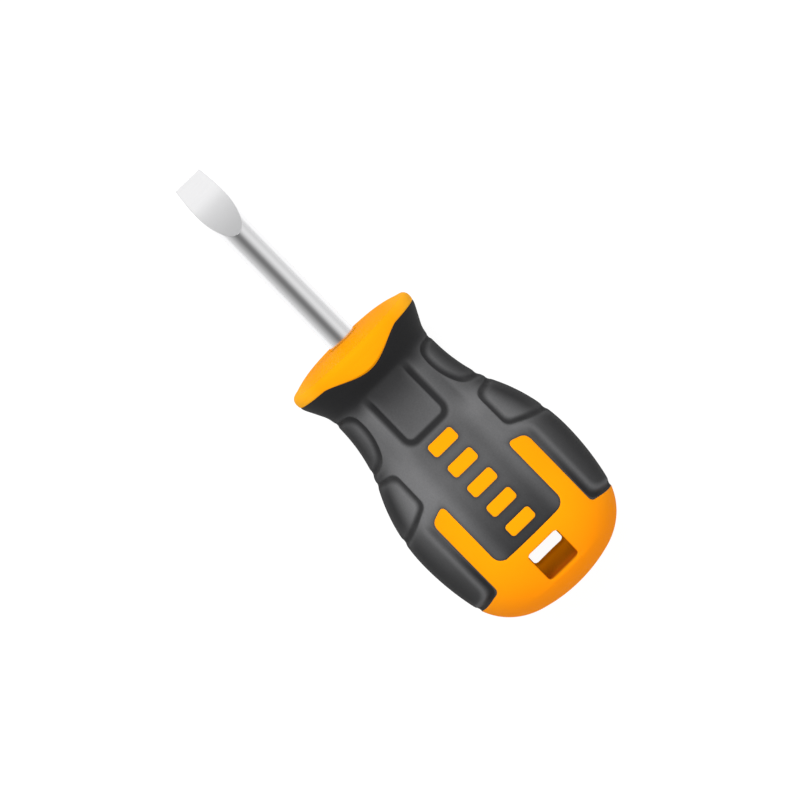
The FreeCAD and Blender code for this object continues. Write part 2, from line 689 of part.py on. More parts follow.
def make_handle(blade, core):
    """The hard body and the soft grip, which share one skin and meet on every face of the bed."""
    skin, bed = make_skin(), make_bed()
    plan = make_plan("grip_plan", grip_corners())[0]

    layer = boolean("Cut", "soft_layer", skin, bed)
    blank = boolean("Common", "grip_in_plan", layer, plan)
    windowed = boolean("Cut", "grip_with_windows", blank, make_bars())
    cutters = document.addObject("Part::MultiFuse", "groove_cutters")
    cutters.Shapes = make_cutters()
    shallow = boolean("Cut", "shallow_cutters", cutters, make_groove_floor())
    relief = boolean("Cut", "relief_cutters", shallow, make_side_band())
    grip = boolean("Cut", "soft_grip", windowed, relief)

    body = skin
    for name, tool in (("under_grip", windowed), ("round_core", core), ("round_blade", blade)):
        body = boolean("Cut", f"body_{name}", body, tool)
    return boolean("Cut", "handle_body", body, make_hanging_hole()), grip


# ---------------------------------------------------------------- build, test and write

def report_failures():
    """Stops if any object of the document failed to recompute."""
    failed = [o.Name for o in document.Objects if {"Invalid", "Error"} & set(o.State)]
    if failed:
        raise RuntimeError(f"failed objects: {failed}")


def write(part):
    """Writes one sub-part, once it is known to be one valid solid."""
    shape = part.Shape
    if shape.isNull() or not shape.isValid() or len(shape.Solids) != 1:
        raise RuntimeError(f"{part.Label} isn't one valid solid")
    shape.Solids[0].exportStep(os.path.join("parts", f"{part.Label}.step"))
    print(f"{part.Label}: {shape.Volume / 1000:.2f} cm3")


blade = make_blade()
core = make_core(blade)
handle_body, soft_grip = make_handle(blade, core)
document.recompute()
report_failures()
os.makedirs("parts", exist_ok=True)
for part in (blade, core, handle_body, soft_grip):
    write(part)
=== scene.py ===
import math

import bpy
import numpy as np
from bpy.props import FloatProperty, FloatVectorProperty, IntProperty, PointerProperty
from bpy.types import NodeSocket, Operator, Panel, PropertyGroup
from mathutils import Matrix, Vector


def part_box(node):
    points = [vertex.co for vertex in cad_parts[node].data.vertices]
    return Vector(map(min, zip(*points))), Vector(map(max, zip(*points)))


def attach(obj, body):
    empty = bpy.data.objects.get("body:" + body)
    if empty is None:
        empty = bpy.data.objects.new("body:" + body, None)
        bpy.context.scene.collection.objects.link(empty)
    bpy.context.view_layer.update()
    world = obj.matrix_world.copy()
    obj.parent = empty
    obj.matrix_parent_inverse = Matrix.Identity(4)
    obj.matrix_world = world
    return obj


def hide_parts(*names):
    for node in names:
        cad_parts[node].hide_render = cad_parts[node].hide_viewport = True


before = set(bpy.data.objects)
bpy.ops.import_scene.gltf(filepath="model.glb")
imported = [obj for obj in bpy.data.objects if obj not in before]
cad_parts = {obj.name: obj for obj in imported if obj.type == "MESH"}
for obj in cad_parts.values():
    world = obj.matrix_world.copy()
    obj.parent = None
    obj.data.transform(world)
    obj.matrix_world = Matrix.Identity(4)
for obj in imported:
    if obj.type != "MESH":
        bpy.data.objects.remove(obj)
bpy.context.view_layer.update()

# Looks of a stubby screwdriver: a two-material moulded handle on a flared, hollow-ground blade.
# Shapes are worked out in millimetres from the blade's tip, with +X towards the butt and +Z out of
# the handle's barred face, and become metres as they go into a mesh.

bl_info = {
    "name": "Stubby screwdriver",
    "version": (1, 0, 0),
    "blender": (4, 5, 0),
    "location": "View3D > Sidebar > Screwdriver",
    "description": "Moulded skins, steel and a plain studio for a stubby screwdriver",
    "category": "Object",
}

MM = 0.001
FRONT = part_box("handle_body")[0][0] / MM
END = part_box("handle_body")[1][0] / MM
BELLY_HALF_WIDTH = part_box("soft_grip")[1][1] / MM
BELLY_HALF_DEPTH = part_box("soft_grip")[1][2] / MM

# The blade, from its tip, and the socket round it in the guard's face.
TIP_RADIUS = 2.8
EDGE_SHRINK = (0.86, 0.975)
STEEPEST_CREASE = math.radians(60.0)
FLARE_PLACE = 5.9
FLARE_FADE = 6.3
WEB_PLACE = 5.0
WEB_SLOPE = 0.02
GROUND_END = 12.6
GRIND_END = 13.5
SOCKET_RADIUS = 3.1
SOCKET_DEPTH = 0.3

# The handle's turned form. Places are measured from the tip.
FACE_RING = 6.0
RIM_SETBACK = 1.2
RIM_CORNER = (FRONT + RIM_SETBACK, 12.5)
RIM_CREST = (FRONT + 2.4, 13.5)
RIM_CURVE = 4.5
NECK_CURVE = 5.5
FLAT_CURVE = 1.6
NECK = FRONT + 9.6
WAIST = FRONT + 10.9
WAIST_HALF_WIDTH = 11.05
WAIST_HALF_DEPTH = 10.1
SWELL_CURVE = 29.0
BELLY = FRONT + 37.8
SHOULDER_CURVE = 50.0
HEEL_CURVE = 11.0
BUTT_CURVE = 28.0
FLAT_SLOPE = math.radians(35.6)

# Outlines in plan, from the tip and from the centre line.
SKIRT = FRONT + 3.3
TONGUE = 2.35
TONGUE_REACH = 8.5
TONGUE_BLUNTNESS = 0.66
TONGUE_LIFT = 0.3
TONGUE_LIFT_START = 0.9
TONGUE_LIFT_CURVE = 0.6
ARM_INNER = 7.7
ARM_OUTER = 11.1
ARM_TOP = FRONT + 30.7
ARM_SLANT = 0.41
PANEL_END = FRONT + 44.85
PANEL_ROUND = 1.9
PAD_END = FRONT + 48.3
PAD_SLANT = 0.42
BAR_START = FRONT + 22.1
BAR_PITCH = 4.6
BAR_HALF_WIDTH = 1.2
BAR_HALF_LENGTH = 2.7
BAR_ROUND = 0.6
BAR_MARGIN = 0.55
BAR_THICKNESS = 0.35
HOLE_START = FRONT + 46.95
HOLE_END = FRONT + 53.05
HOLE_HALF_WIDTH = 3.45
HOLE_ROUND = 0.7
HOLE_RIM = 0.34
HOLE_PULL = 1.2

# Pads of the soft grip: start, end, half width and corners of the thumb panel, centre and radius of
# the neck pad's bow and its slanted ends, and corners of the swell pad, from the front face and from
# the centre line. Then the run of the swell pad's slanted end and how wide the grooves are.
THUMB_PANEL = (7.6, 20.8, 5.2, 2.2)
NECK_BOW = (12.5, 19.7, 11.9)
NECK_ENDS = (9.4, 20.2)
NECK_SLANT = 0.25
NECK_CORNER = 11.1
SWELL_FRONT = (21.7, 9.8)
SWELL_BACK = (28.8, 9.6)
SWELL_SLANT = (5.9, 10.4)
THUMB_GROOVE = 1.15
PAD_GROOVE = 0.85
BELLY_GROOVE = 0.95

# Where along the handle grooves reach their depth, and the dish of the thumb panel: its start, length
# and half width.
THUMB_DEEPENS = (8.0, 11.5)
BELLY_DEEPENS = (30.8, 33.5)
BELLY_DEEPENS_FULLY = (36.0, 46.0)
DISH = (8.6, 10.6, 4.2)

# How deep and how far skins run on below their neighbours, how finely they are cut, and a distance
# beyond them all.
BURIED = 0.9
GUARD_END = FRONT + 9.5
GRIP_END = PAD_END + 4.4
COLUMNS = 400
ROWS = {"guard": 190, "grip": 222, "lining": 16, "arms": 92, "dome": 60}
HOLE_STEPS = 29
WALL_RINGS = 12
FAR = 50.0

# The studio: what gloss sees of the room round the blade's axis, as degrees and brightness, how far
# the floor reaches, and where the lamps and the camera stand.
ROOM_STOPS = [(-180, 1.0), (-122, 0.93), (-97, 0.8), (-77, 0.67), (-60, 0.52), (-44, 0.37), (-29, 0.23),
              (-18, 0.19), (-7, 0.23), (0, 0.3), (7, 0.42), (15, 0.57), (22, 0.69), (30, 0.79),
              (40, 0.84), (64, 0.72), (77, 0.74), (97, 0.86), (122, 0.97), (180, 1.0)]
FLOOR_HALF = 1500.0
LAMP_AWAY = 0.75
LAMP_TARGET = Vector((62.0, 0.0, 8.0)) * MM
CAMERA_AWAY = 0.7
CAMERA_TARGET = Vector((52.3, -0.22, 0.0)) * MM
CAMERA_LEAN = math.radians(5.4)
CAMERA_ROLL = math.radians(45.65)


def a_length(name, description, default, least, most=1000.0):
    """A length in the sidebar, from sizes in millimetres."""
    return FloatProperty(name=name, description=description, default=default * MM, min=least * MM,
                         max=most * MM, unit="LENGTH")


def a_power(name, description, default):
    return FloatProperty(name=name, description=description, default=default, min=0.0, unit="POWER")


def a_colour(name, description, default):
    return FloatVectorProperty(name=name, description=description, subtype="COLOR", size=3, min=0.0,
                               max=1.0, default=default)


class BladeSizes(PropertyGroup):
    shaft_radius: a_length("Shaft radius", "Round part of the blade", 2.75, 0.5)
    flare_radius: a_length("Flare", "Widest half width of the flared tip", 3.27, 0.5)
    tip_half_thickness: a_length("Tip half thickness", "Half the driving edge's thickness", 0.5, 0.1)
    grind_curve: a_length("Hollow grind", "Radius of the hollow grind", 14.0, 5.0)


class HandleSizes(PropertyGroup):
    groove_depth: a_length("Groove depth", "Grooves round the soft grip's pads", 0.55, 0.0, 1.0)
    groove_softness: a_length("Groove softness", "How far a groove's edge is rounded", 0.3, 0.1, 1.0)
    bead_height: a_length("Bead height", "Raised line round the belly pads", 0.2, 0.0, 0.4)
    thumb_dish: a_length("Thumb dish", "How far the thumb panel is hollowed", 0.35, 0.0, 0.6)
    seam_depth: a_length("Seam depth", "Depth at which hard and soft plastic meet", 0.1, 0.02, 0.4)
    seam_width: a_length("Seam width", "Rounding on each side of the seam", 0.3, 0.1, 1.0)
    flat_sharpness: FloatProperty(
        name="Flat sharpness", description="How suddenly the round sides pass into the flats",
        default=9.0, min=3.0, max=40.0)
    bar_count: IntProperty(
        name="Bars", description="Plain bars across the front of the grip", default=5, min=0, max=5)


class Finishes(PropertyGroup):
    hard_colour: a_colour("Hard plastic", "Guard, arms, butt and bars", (1.0, 0.36, 0.002))
    # Shaded and lit copies of the one grey: the grip's colour is painted between them by where light
    # falls.
    shaded_soft_colour: a_colour("Soft plastic", "Grip, where it is least handled", (0.023, 0.023, 0.024))
    lit_soft_colour: a_colour("Lit soft plastic", "Grip, where hands have paled it", (0.17, 0.17, 0.174))
    steel_colour: a_colour("Steel", "Plated blade", (0.88, 0.88, 0.89))


class StudioSettings(PropertyGroup):
    key_power: a_power("Key light", "Power of the large soft light beyond the blade", 4.0)
    fill_power: a_power("Fill light", "Power of the soft light beyond the butt", 0.8)
    room_level: FloatProperty(
        name="Room light", description="Even light from all round", default=0.62, min=0.0, max=2.0)
    camera_lens: FloatProperty(
        name="Lens", description="Focal length for a 36 mm wide frame, in millimetres",
        default=183.6, min=20.0)


# ---- the handle's form

def arc(x, centre_x, centre_y, radius, side=1.0):
    """Half a circle at x, the upper half or, with side -1, the lower.

    It is the centre's height plus side times the root of radius squared less distance squared.
    """
    return centre_y + side * np.sqrt(np.maximum(radius ** 2 - (x - centre_x) ** 2, 0.0))


def flank(x, neck_curve, waist, belly):
    """Height of the handle's long side: hollow neck, straight waist, hollow swell and crowned belly.

    The swell's circle and the belly's circle touch where both lean by twice the angle whose tangent is
    the rise from waist to belly over the run between them.
    """
    run = BELLY - WAIST
    lean = 2 * math.atan((belly - waist) / run)
    belly_curve = run / math.sin(lean) - SWELL_CURVE
    meeting = WAIST + SWELL_CURVE * math.sin(lean)
    parts = [arc(x, NECK, waist + neck_curve, neck_curve, -1.0),
             np.full_like(x, waist),
             arc(x, WAIST, waist + SWELL_CURVE, SWELL_CURVE, -1.0),
             arc(x, BELLY, belly - belly_curve, belly_curve)]
    places = [x < NECK, x < WAIST, x < meeting, x < BELLY]
    return np.select(places, parts, arc(x, BELLY, belly - SHOULDER_CURVE, SHOULDER_CURVE))


def heel():
    """The heel's centre, its start and end, and the butt's centre.

    The heel's circle touches the shoulder's and the butt's from inside. Its centre lies where two circles
    cross, each as wide as the gap between the heel's radius and its neighbour's.
    """
    shoulder = Vector((BELLY, BELLY_HALF_WIDTH - SHOULDER_CURVE))
    butt = Vector((END - BUTT_CURVE, 0.0))
    first, second = SHOULDER_CURVE - HEEL_CURVE, BUTT_CURVE - HEEL_CURVE
    gap = butt - shoulder
    reach = (gap.length ** 2 + first ** 2 - second ** 2) / (2 * gap.length)
    across = Vector((gap.y, -gap.x)).normalized() * math.sqrt(first ** 2 - reach ** 2)
    middle = shoulder + gap.normalized() * reach
    centre = max(middle + across, middle - across, key=lambda point: point.y)
    from_shoulder, from_butt = (centre - shoulder).normalized(), (centre - butt).normalized()
    return centre, centre + from_shoulder * HEEL_CURVE, centre + from_butt * HEEL_CURVE, butt


def half_width(x):
    """The turned form's radius behind the guard's crest: crest, slope, neck, flank, heel and butt."""
    crest = np.array([RIM_CREST[0], RIM_CREST[1] - RIM_CURVE])
    neck = np.array([NECK, WAIST_HALF_WIDTH + NECK_CURVE])
    gap = neck - crest
    lean = math.atan2(*gap) - math.acos((RIM_CURVE + NECK_CURVE) / np.hypot(*gap))
    slope_start = crest + RIM_CURVE * np.array([math.sin(lean), math.cos(lean)])
    slope_end = neck[0] - NECK_CURVE * math.sin(lean)
    centre, heel_start, heel_end, butt = heel()
    parts = [arc(x, *crest, RIM_CURVE),
             slope_start[1] - (x - slope_start[0]) * math.tan(lean),
             flank(x, NECK_CURVE, WAIST_HALF_WIDTH, BELLY_HALF_WIDTH),
             arc(x, centre.x, centre.y, HEEL_CURVE)]
    places = [x < slope_start[0], x < slope_end, x < heel_start.x, x < heel_end.x]
    return np.select(places, parts, arc(x, butt.x, 0.0, BUTT_CURVE))


def half_depth(x):
    """Height of the flats: the flank's form drawn lower, with a straight slope behind the guard."""
    touch = NECK - FLAT_CURVE * math.sin(FLAT_SLOPE)
    height = WAIST_HALF_DEPTH + FLAT_CURVE * (1 - math.cos(FLAT_SLOPE))
    slope = height + (touch - x) * math.tan(FLAT_SLOPE)
    return np.where(x < touch, slope, flank(x, FLAT_CURVE, WAIST_HALF_DEPTH, BELLY_HALF_DEPTH))


def outline():
    """Points along the turned form's profile, from the middle of the guard's face to the butt's end."""
    heel_end, butt = heel()[2:]
    ring = np.linspace(0.0, FACE_RING, 40)[:-1]
    crown = np.linspace(0.0, RIM_CORNER[1] - FACE_RING, 80)[:-1]
    crown_curve = (crown[-1] ** 2 + RIM_SETBACK ** 2) / (2 * RIM_SETBACK)
    nose_curve = RIM_CREST[0] - RIM_CORNER[0]
    turn = np.linspace(math.pi, math.pi / 2, 50)[:-1]
    back = np.linspace(RIM_CREST[0], heel_end.x, 4000)[:-1]
    last = np.linspace(math.acos((heel_end.x - butt.x) / BUTT_CURVE), 0.0, 200)
    x = np.concatenate([
        np.full_like(ring, FRONT),
        FRONT + crown_curve - np.sqrt(crown_curve ** 2 - crown ** 2),
        RIM_CREST[0] + nose_curve * np.cos(turn),
        back,
        butt.x + BUTT_CURVE * np.cos(last)])
    radius = np.concatenate([
        ring,
        FACE_RING + crown,
        RIM_CORNER[1] + (RIM_CREST[1] - RIM_CORNER[1]) * np.sin(turn),
        half_width(back),
        BUTT_CURVE * np.sin(last)])
    return x, radius


def stations(first, last, rows, pull=()):
    """Rows along the profile between two places, even in arc length and closer near some of them.

    Each pull is a place, a reach and a strength: the density of rows is one plus strength times a bell
    of that reach round the place.
    """
    x, radius = outline()
    length = np.concatenate([[0.0], np.cumsum(np.hypot(np.diff(x), np.diff(radius)))])
    bells = (strength * np.exp(-((x - place) / reach) ** 2) for place, reach, strength in pull)
    density = 1.0 + sum(bells, np.zeros_like(x))
    weight = np.concatenate([[0.0], np.cumsum(np.diff(length) * 0.5 * (density[1:] + density[:-1]))])
    behind = x >= RIM_CREST[0]
    start = 0.0 if first <= FRONT else np.interp(first, x[behind], weight[behind])
    stop = np.interp(last, x[behind], weight[behind])
    marks = np.linspace(start, stop, rows)
    return np.interp(marks, weight, x), np.interp(marks, weight, radius)


def section(x, radius, turn, sharpness):
    """The skin's distance from the axis at x and turn.

    With s the size of turn's sine, it is the radius times (1 - s^n + (radius / depth)^n s^n)^(-1/n), which
    is the radius at the sides and the flat's depth on the front and the back.
    """
    depth = np.minimum(half_depth(x), radius)
    ratio = np.where(radius > 1e-6, radius / np.maximum(depth, 1e-6), 1.0)
    power = np.abs(np.sin(turn)) ** sharpness
    return radius * (1.0 - power + ratio ** sharpness * power) ** (-1.0 / sharpness)


# ---- distances in plan

def rise(low, high, value):
    """Zero below low, one above high, and three t squared less two t cubed between."""
    share = np.clip((value - low) / (high - low), 0.0, 1.0)
    return share * share * (3.0 - 2.0 * share)


def fade(low, high, value):
    """One below low, zero above high, and one less the rise between."""
    return 1.0 - rise(low, high, value)


def soft_max(first, second, blend):
    """The larger of two distances, rounded over where they are within blend of each other."""
    near = np.maximum(blend - np.abs(first - second), 0.0) / blend
    return np.maximum(first, second) + near ** 2 * blend / 4


def soft_min(first, second, blend):
    return -soft_max(-first, -second, blend)


def rectangle(x, y, start, end, half, rounding):
    """Distance from a rounded rectangle that is symmetric about the centre line, negative inside."""
    along = np.abs(x - (start + end) / 2) - ((end - start) / 2 - rounding)
    across = np.abs(y) - (half - rounding)
    outside = np.hypot(np.maximum(along, 0.0), np.maximum(across, 0.0))
    return outside + np.minimum(np.maximum(along, across), 0.0) - rounding


def hole_distance(x, y):
    return rectangle(x, y, HOLE_START, HOLE_END, HOLE_HALF_WIDTH, HOLE_ROUND)


def one_bar_distance(x, y, centre):
    return rectangle(x - centre, y, -BAR_HALF_WIDTH, BAR_HALF_WIDTH, BAR_HALF_LENGTH, BAR_ROUND)


def bar_centre(index):
    return BAR_START + BAR_HALF_WIDTH + index * BAR_PITCH


def bar_distance(x, y, count):
    """Distance from the nearest bar, negative on it. Bars repeat at a pitch along the handle."""
    if count == 0:
        return np.full_like(x, FAR)
    nearest = np.clip(np.round((x - BAR_START - BAR_HALF_WIDTH) / BAR_PITCH), 0, count - 1)
    return one_bar_distance(x, y, bar_centre(nearest))


def tongue_wave(y):
    """Turn along the tongue's wave: zero on the centre line and half a turn at its reach and beyond."""
    return np.minimum(np.abs(y) / TONGUE_REACH, 1.0) * math.pi


def guard_distance(x, y):
    """Distance behind the guard's edge, negative on the guard. The tongue is a blunt wave of a cosine."""
    wave = tongue_wave(y)
    share = np.maximum((1 + np.cos(wave)) / 2, 1e-6)
    lean = TONGUE * TONGUE_BLUNTNESS * share ** (TONGUE_BLUNTNESS - 1)
    lean = lean * np.sin(wave) / 2 * math.pi / TONGUE_REACH
    return (x - SKIRT - TONGUE * share ** TONGUE_BLUNTNESS) / np.sqrt(1 + lean ** 2)


def tongue_lift(x, y):
    """How far a tongue stands above the slope behind the rim: a share of the run times a cosine's wave."""
    run = np.maximum(x - RIM_CREST[0] - TONGUE_LIFT_START, 0.0)
    return TONGUE_LIFT * run ** 2 / (run + TONGUE_LIFT_CURVE) * (1 + np.cos(tongue_wave(y))) / 2


def pad_end(x, side):
    """Distance past the slanted end of the belly pads."""
    return (x - PAD_END - PAD_SLANT * (side - ARM_OUTER)) / math.hypot(1.0, PAD_SLANT)


def swell_end(x, side):
    """Distance past the slanted groove between the swell pad and the belly pad."""
    (place, corner), (run, climb) = SWELL_BACK, SWELL_SLANT
    return ((x - FRONT - place) * climb - (side - corner) * run) / math.hypot(climb, run)


def butt_distance(x, y):
    """Distance from the soft region towards the butt's arms and dome, negative on the soft side.

    The soft region is a centre panel, two side strips, and all that lies ahead of the arms' slanted tops.
    """
    side = np.abs(y)
    panel = rectangle(x, y, PANEL_END - 60.0, PANEL_END, ARM_INNER, PANEL_ROUND)
    strip = soft_max(pad_end(x, side), ARM_OUTER - side, 0.8)
    ahead = (x - ARM_TOP - ARM_SLANT * (side - ARM_INNER)) / math.hypot(1.0, ARM_SLANT)
    return soft_min(soft_min(panel, ahead, 1.2), strip, 1.2)


def pad_distances(x, y):
    """Distances from the outlines of the thumb panel and the pads, negative inside.

    Each comes with the width of its groove and with how much of its full depth the groove has there.
    """
    side, place = np.abs(y), x - FRONT
    thumb = rectangle(place, y, *THUMB_PANEL)
    bow = np.hypot(place - NECK_BOW[0], side - NECK_BOW[1]) - NECK_BOW[2]
    ends = np.maximum(NECK_ENDS[0] - place, place - NECK_ENDS[1] - NECK_SLANT * (side - NECK_CORNER))
    neck = soft_max(bow, ends, 1.6)
    swell = soft_max(SWELL_FRONT[0] - place, SWELL_FRONT[1] - side, 1.4)
    swell = soft_max(swell, swell_end(x, side), 1.0)
    belly = soft_max(ARM_OUTER + 0.35 - side, pad_end(x, side) + 0.15, 1.2)
    belly_share = rise(*BELLY_DEEPENS, place) * (0.45 + 0.55 * rise(*BELLY_DEEPENS_FULLY, place))
    return [(thumb, THUMB_GROOVE, rise(*THUMB_DEEPENS, place)), (neck, PAD_GROOVE, 1.0),
            (swell, PAD_GROOVE, 1.0), (belly, BELLY_GROOVE, belly_share)]


def bead_distance(x, y):
    """Distance from the belly pad's raised line, along the swell pad's end, the arm and its own end."""
    side = np.abs(y)
    return soft_max(soft_min(swell_end(x, side) - 0.6, 12.8 - side, 2.0), pad_end(x, side) + 1.35, 1.6)


# ---- relief

def seam_drop(distance, sizes, share=1.0, most=BURIED):
    """How far a skin dips as it nears and passes a seam: seam depth times (1 + distance / width) squared.

    The width is the seam's, or a share of it where an edge is crisper.
    """
    width = sizes.seam_width / MM * share
    dip = sizes.seam_depth / MM * (np.maximum(distance + width, 0.0) / width) ** 2
    return np.minimum(dip, most)


def pad_relief(x, y, z, sizes):
    """Depth of the grooves, less the height of the beads, with masks of the grooves' beds, which carry
    painted shade, and of a painted highlight on the groove shoulders and the beads.

    A groove is a flat bed with rounded sides. Round the sides of the handle, where the height over the
    middle is small, grooves are a third as deep, and beads and the dish run out.
    """
    soft = sizes.groove_softness / MM
    depth = sizes.groove_depth / MM
    side = np.abs(y)
    relief, beds, painted_highlight = np.zeros_like(x), np.zeros_like(x), np.zeros_like(x)
    for distance, width, share in pad_distances(x, y):
        off_centre = np.abs(distance + width / 2)
        bed = fade(width / 2 - soft, width / 2 + soft, off_centre) * share
        shoulder = np.exp(-np.maximum(off_centre - width / 2, 0.0) / 0.6) * share
        relief = np.maximum(relief, depth * (0.8 * bed + 0.2 * shoulder))
        beds = np.maximum(beds, bed)
        # A painted highlight on the shoulder beside each groove.
        painted_highlight = np.maximum(painted_highlight, shoulder * (1.0 - bed))
    bead = np.exp(-(bead_distance(x, y) / 0.5) ** 2) * rise(9.4, 10.4, side)
    start, length, half = DISH
    dish = np.sin(np.clip((x - FRONT - start) / length, 0.0, 1.0) * math.pi) ** 2
    dish = dish * rise(0.0, 1.6, half - side)
    out = rise(1.5, 4.0, np.abs(z))
    crowning = sizes.thumb_dish / MM * dish - sizes.bead_height / MM * bead
    return relief * (0.33 + 0.67 * out) + crowning * out, beds * out, np.maximum(painted_highlight * 0.6, bead) * out


# ---- meshes

def grid_numbers(rows, columns):
    return np.arange(rows * columns).reshape(rows, columns)


def band_faces(rings):
    """Quads between neighbouring closed rings of points, facing outwards where rings turn round +X."""
    after = np.roll(rings, -1, axis=1)
    return np.stack([rings[:-1], after[:-1], after[1:], rings[1:]], axis=-1)


def pole_faces(pole, ring_start, columns, at_end):
    """A fan of triangles from a pole to a ring."""
    here = ring_start + np.arange(columns)
    after = np.roll(here, -1)
    order = (here, after) if at_end else (after, here)
    return np.stack([np.full(columns, pole), *order], axis=-1)


def capped_faces(rows, columns, pole):
    """Quads of a grid that closes round the axis, and at its ends fans to the pole and the one after."""
    return [band_faces(grid_numbers(rows, columns)), pole_faces(pole, 0, columns, False),
            pole_faces(pole + 1, (rows - 1) * columns, columns, True)]


def with_poles(points, first, last):
    """Points in one list, with two more at places on the axis."""
    return np.concatenate([points.reshape(-1, 3), [[first, 0.0, 0.0], [last, 0.0, 0.0]]])


def loop_round(grid):
    """The outermost numbers of a grid, in order."""
    return np.concatenate([grid[0, :-1], grid[:-1, -1], grid[-1, :0:-1], grid[:0:-1, 0]])


def add_to_scene(name, data):
    thing = bpy.data.objects.new(name, data)
    bpy.context.scene.collection.objects.link(thing)
    return thing


def make_piece(name, points, faces, finishes, masks=None):
    """A smooth-shaded object from points in millimetres and arrays of triangles and quads."""
    corners = np.concatenate([group.ravel() for group in faces]).astype(np.int32)
    sides = np.concatenate([np.full(group.size // group.shape[-1], group.shape[-1]) for group in faces])
    starts = np.concatenate([[0], np.cumsum(sides)[:-1]]).astype(np.int32)
    mesh = bpy.data.meshes.new(name)
    mesh.vertices.add(points.size // 3)
    mesh.vertices.foreach_set("co", (points * MM).astype(np.float32).ravel())
    mesh.loops.add(len(corners))
    mesh.loops.foreach_set("vertex_index", corners)
    mesh.polygons.add(len(sides))
    mesh.polygons.foreach_set("loop_start", starts)
    mesh.update(calc_edges=True)
    if mesh.validate():
        raise RuntimeError(f"{name} has faulty faces")
    mesh.shade_smooth()
    for title, values in (masks or {}).items():
        layer = mesh.attributes.new(title, "FLOAT", "POINT")
        layer.data.foreach_set("value", values.astype(np.float32).ravel())
    for finish in finishes:
        mesh.materials.append(finish_of(finish))
    piece = add_to_scene(name, mesh)
    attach(piece, "root")
    return piece


def wrap(x, distance, turn):
    """Points at a distance from the axis, row by row."""
    x = np.broadcast_to(x, distance.shape)
    return np.stack([x, distance * np.cos(turn), distance * np.sin(turn)], axis=-1)


# ---- pieces

def all_round(quarter, sign):
    """One coordinate of a quarter section, from the side to the top, carried round all four quarters.

    The next quarter repeats it backwards, times the sign, and the second half is the first one negated.
    """
    back = sign * quarter[:, ::-1]
    return np.concatenate([quarter, back[:, 1:], -quarter[:, 1:], -back[:, 1:-1]], axis=1)


def build_blade(sizes):
    """Shaft, flare and hollow-ground tip as one surface.

    A quarter of each section runs round the shaft's circle to the edge of the grind, and then straight
    across at the grind's height. The grind is flat near the edge and then the lower half of a circle.
    The first two rows are shrunk, which leaves the driving edge a face with a small bevel round it.
    """
    shaft, flare = sizes.shaft_radius / MM, sizes.flare_radius / MM
    tip, curve = sizes.tip_half_thickness / MM, sizes.grind_curve / MM
    rows = np.concatenate([[0.0, 0.0, 0.03, 0.1, 0.25], np.linspace(0.6, 14.0, 110),
                           np.linspace(14.6, 37.0, 24), [37.6, 37.9, 38.3, 40.0, 44.0]])
    wider = TIP_RADIUS + (flare - TIP_RADIUS) * np.sin(np.clip(rows / FLARE_PLACE, 0, 1) * math.pi / 2)
    turn = np.clip((rows - FLARE_PLACE) / FLARE_FADE, 0, 1) * math.pi
    radius = np.where(rows < FLARE_PLACE, wider, shaft + (flare - shaft) * 0.5 * (1 + np.cos(turn)))
    web = tip + WEB_SLOPE * np.minimum(rows, WEB_PLACE)
    ground = np.where(rows > WEB_PLACE, arc(rows, WEB_PLACE, web + curve, curve, -1.0), web)
    ground = np.where(rows > GRIND_END, FAR, ground)
    shrink = np.ones(len(rows))
    shrink[:2] = EDGE_SHRINK
    rows, radius, ground = rows[:, None], (radius * shrink)[:, None], (ground * shrink)[:, None]
    crease = np.minimum(np.arcsin(np.minimum(ground / radius, 1.0)), STEEPEST_CREASE)
    round_share = np.array([0.0, 0.2, 0.4, 0.6, 0.78, 0.9, 0.97])
    flat_share = np.array([1.0, 0.975, 0.92, 0.8, 0.65, 0.5, 0.35, 0.2, 0.1, 0.0])
    across = np.concatenate([radius * np.cos(crease * round_share), radius * np.cos(crease) * flat_share],
                            axis=1)
    up = np.minimum(np.sqrt(np.maximum(radius ** 2 - across ** 2, 0.0)), ground)
    across, up = all_round(across, -1.0), all_round(up, 1.0)
    points = np.stack([np.broadcast_to(rows, across.shape), across, up], axis=-1)
    inside = (np.hypot(across, up) < radius - 0.015) & (rows < GROUND_END)
    satin = inside * (1.0 - 0.3 * rise(3.5, 8.0, rows))
    # Painted shade over the ground tip, slight near the edge and full in the scoop.
    painted_scoop_shade = inside * (0.22 + 0.78 * rise(4.0, 9.3, rows))
    masks = {"ground": np.append(satin, [1.0, 0.0]), "painted_scoop_shade": np.append(painted_scoop_shade, [0.0, 0.0])}
    piece = make_piece("blade_steel", with_poles(points, 0.0, rows[-1, 0]),
                       capped_faces(*across.shape, across.size), ["plated_steel"], masks)
    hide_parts("blade")


def build_guard(sizes):
    """The guard with its crowned face, rounded rim and the tongues that run back onto the grip."""
    closer = [(SKIRT + 1.5, 1.6, 0.7), (RIM_CREST[0], 0.5, 0.8)]
    x, radius = stations(FRONT, GUARD_END, ROWS["guard"], closer)
    turn = np.linspace(0.0, 2 * math.pi, COLUMNS, endpoint=False)[None]
    x, radius = x[1:, None], radius[1:, None]
    skin = section(x, radius, turn, sizes.flat_sharpness)
    lift = tongue_lift(x, skin * np.cos(turn))
    skin = skin + lift
    drop = seam_drop(guard_distance(x, skin * np.cos(turn)), sizes, 0.7, BURIED + lift)
    socket = SOCKET_DEPTH * np.exp(-np.maximum(radius - SOCKET_RADIUS, 0.0) / 0.12)
    place = x + np.where(x < FRONT + 0.5, socket, 0.0)
    points = wrap(place, skin - np.where(x > RIM_CREST[0], drop, 0.0), turn)
    points = with_poles(points, FRONT + SOCKET_DEPTH, x[-1, 0])
    # The guard carries a painted highlight, paler at its rims.
    piece = make_piece("guard", points, capped_faces(*skin.shape, skin.size), ["hard_plastic_yellow"],
                       {"painted_highlight": rise(8.0, 12.0, np.abs(points[:, 1]))})
    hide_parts("handle_body")


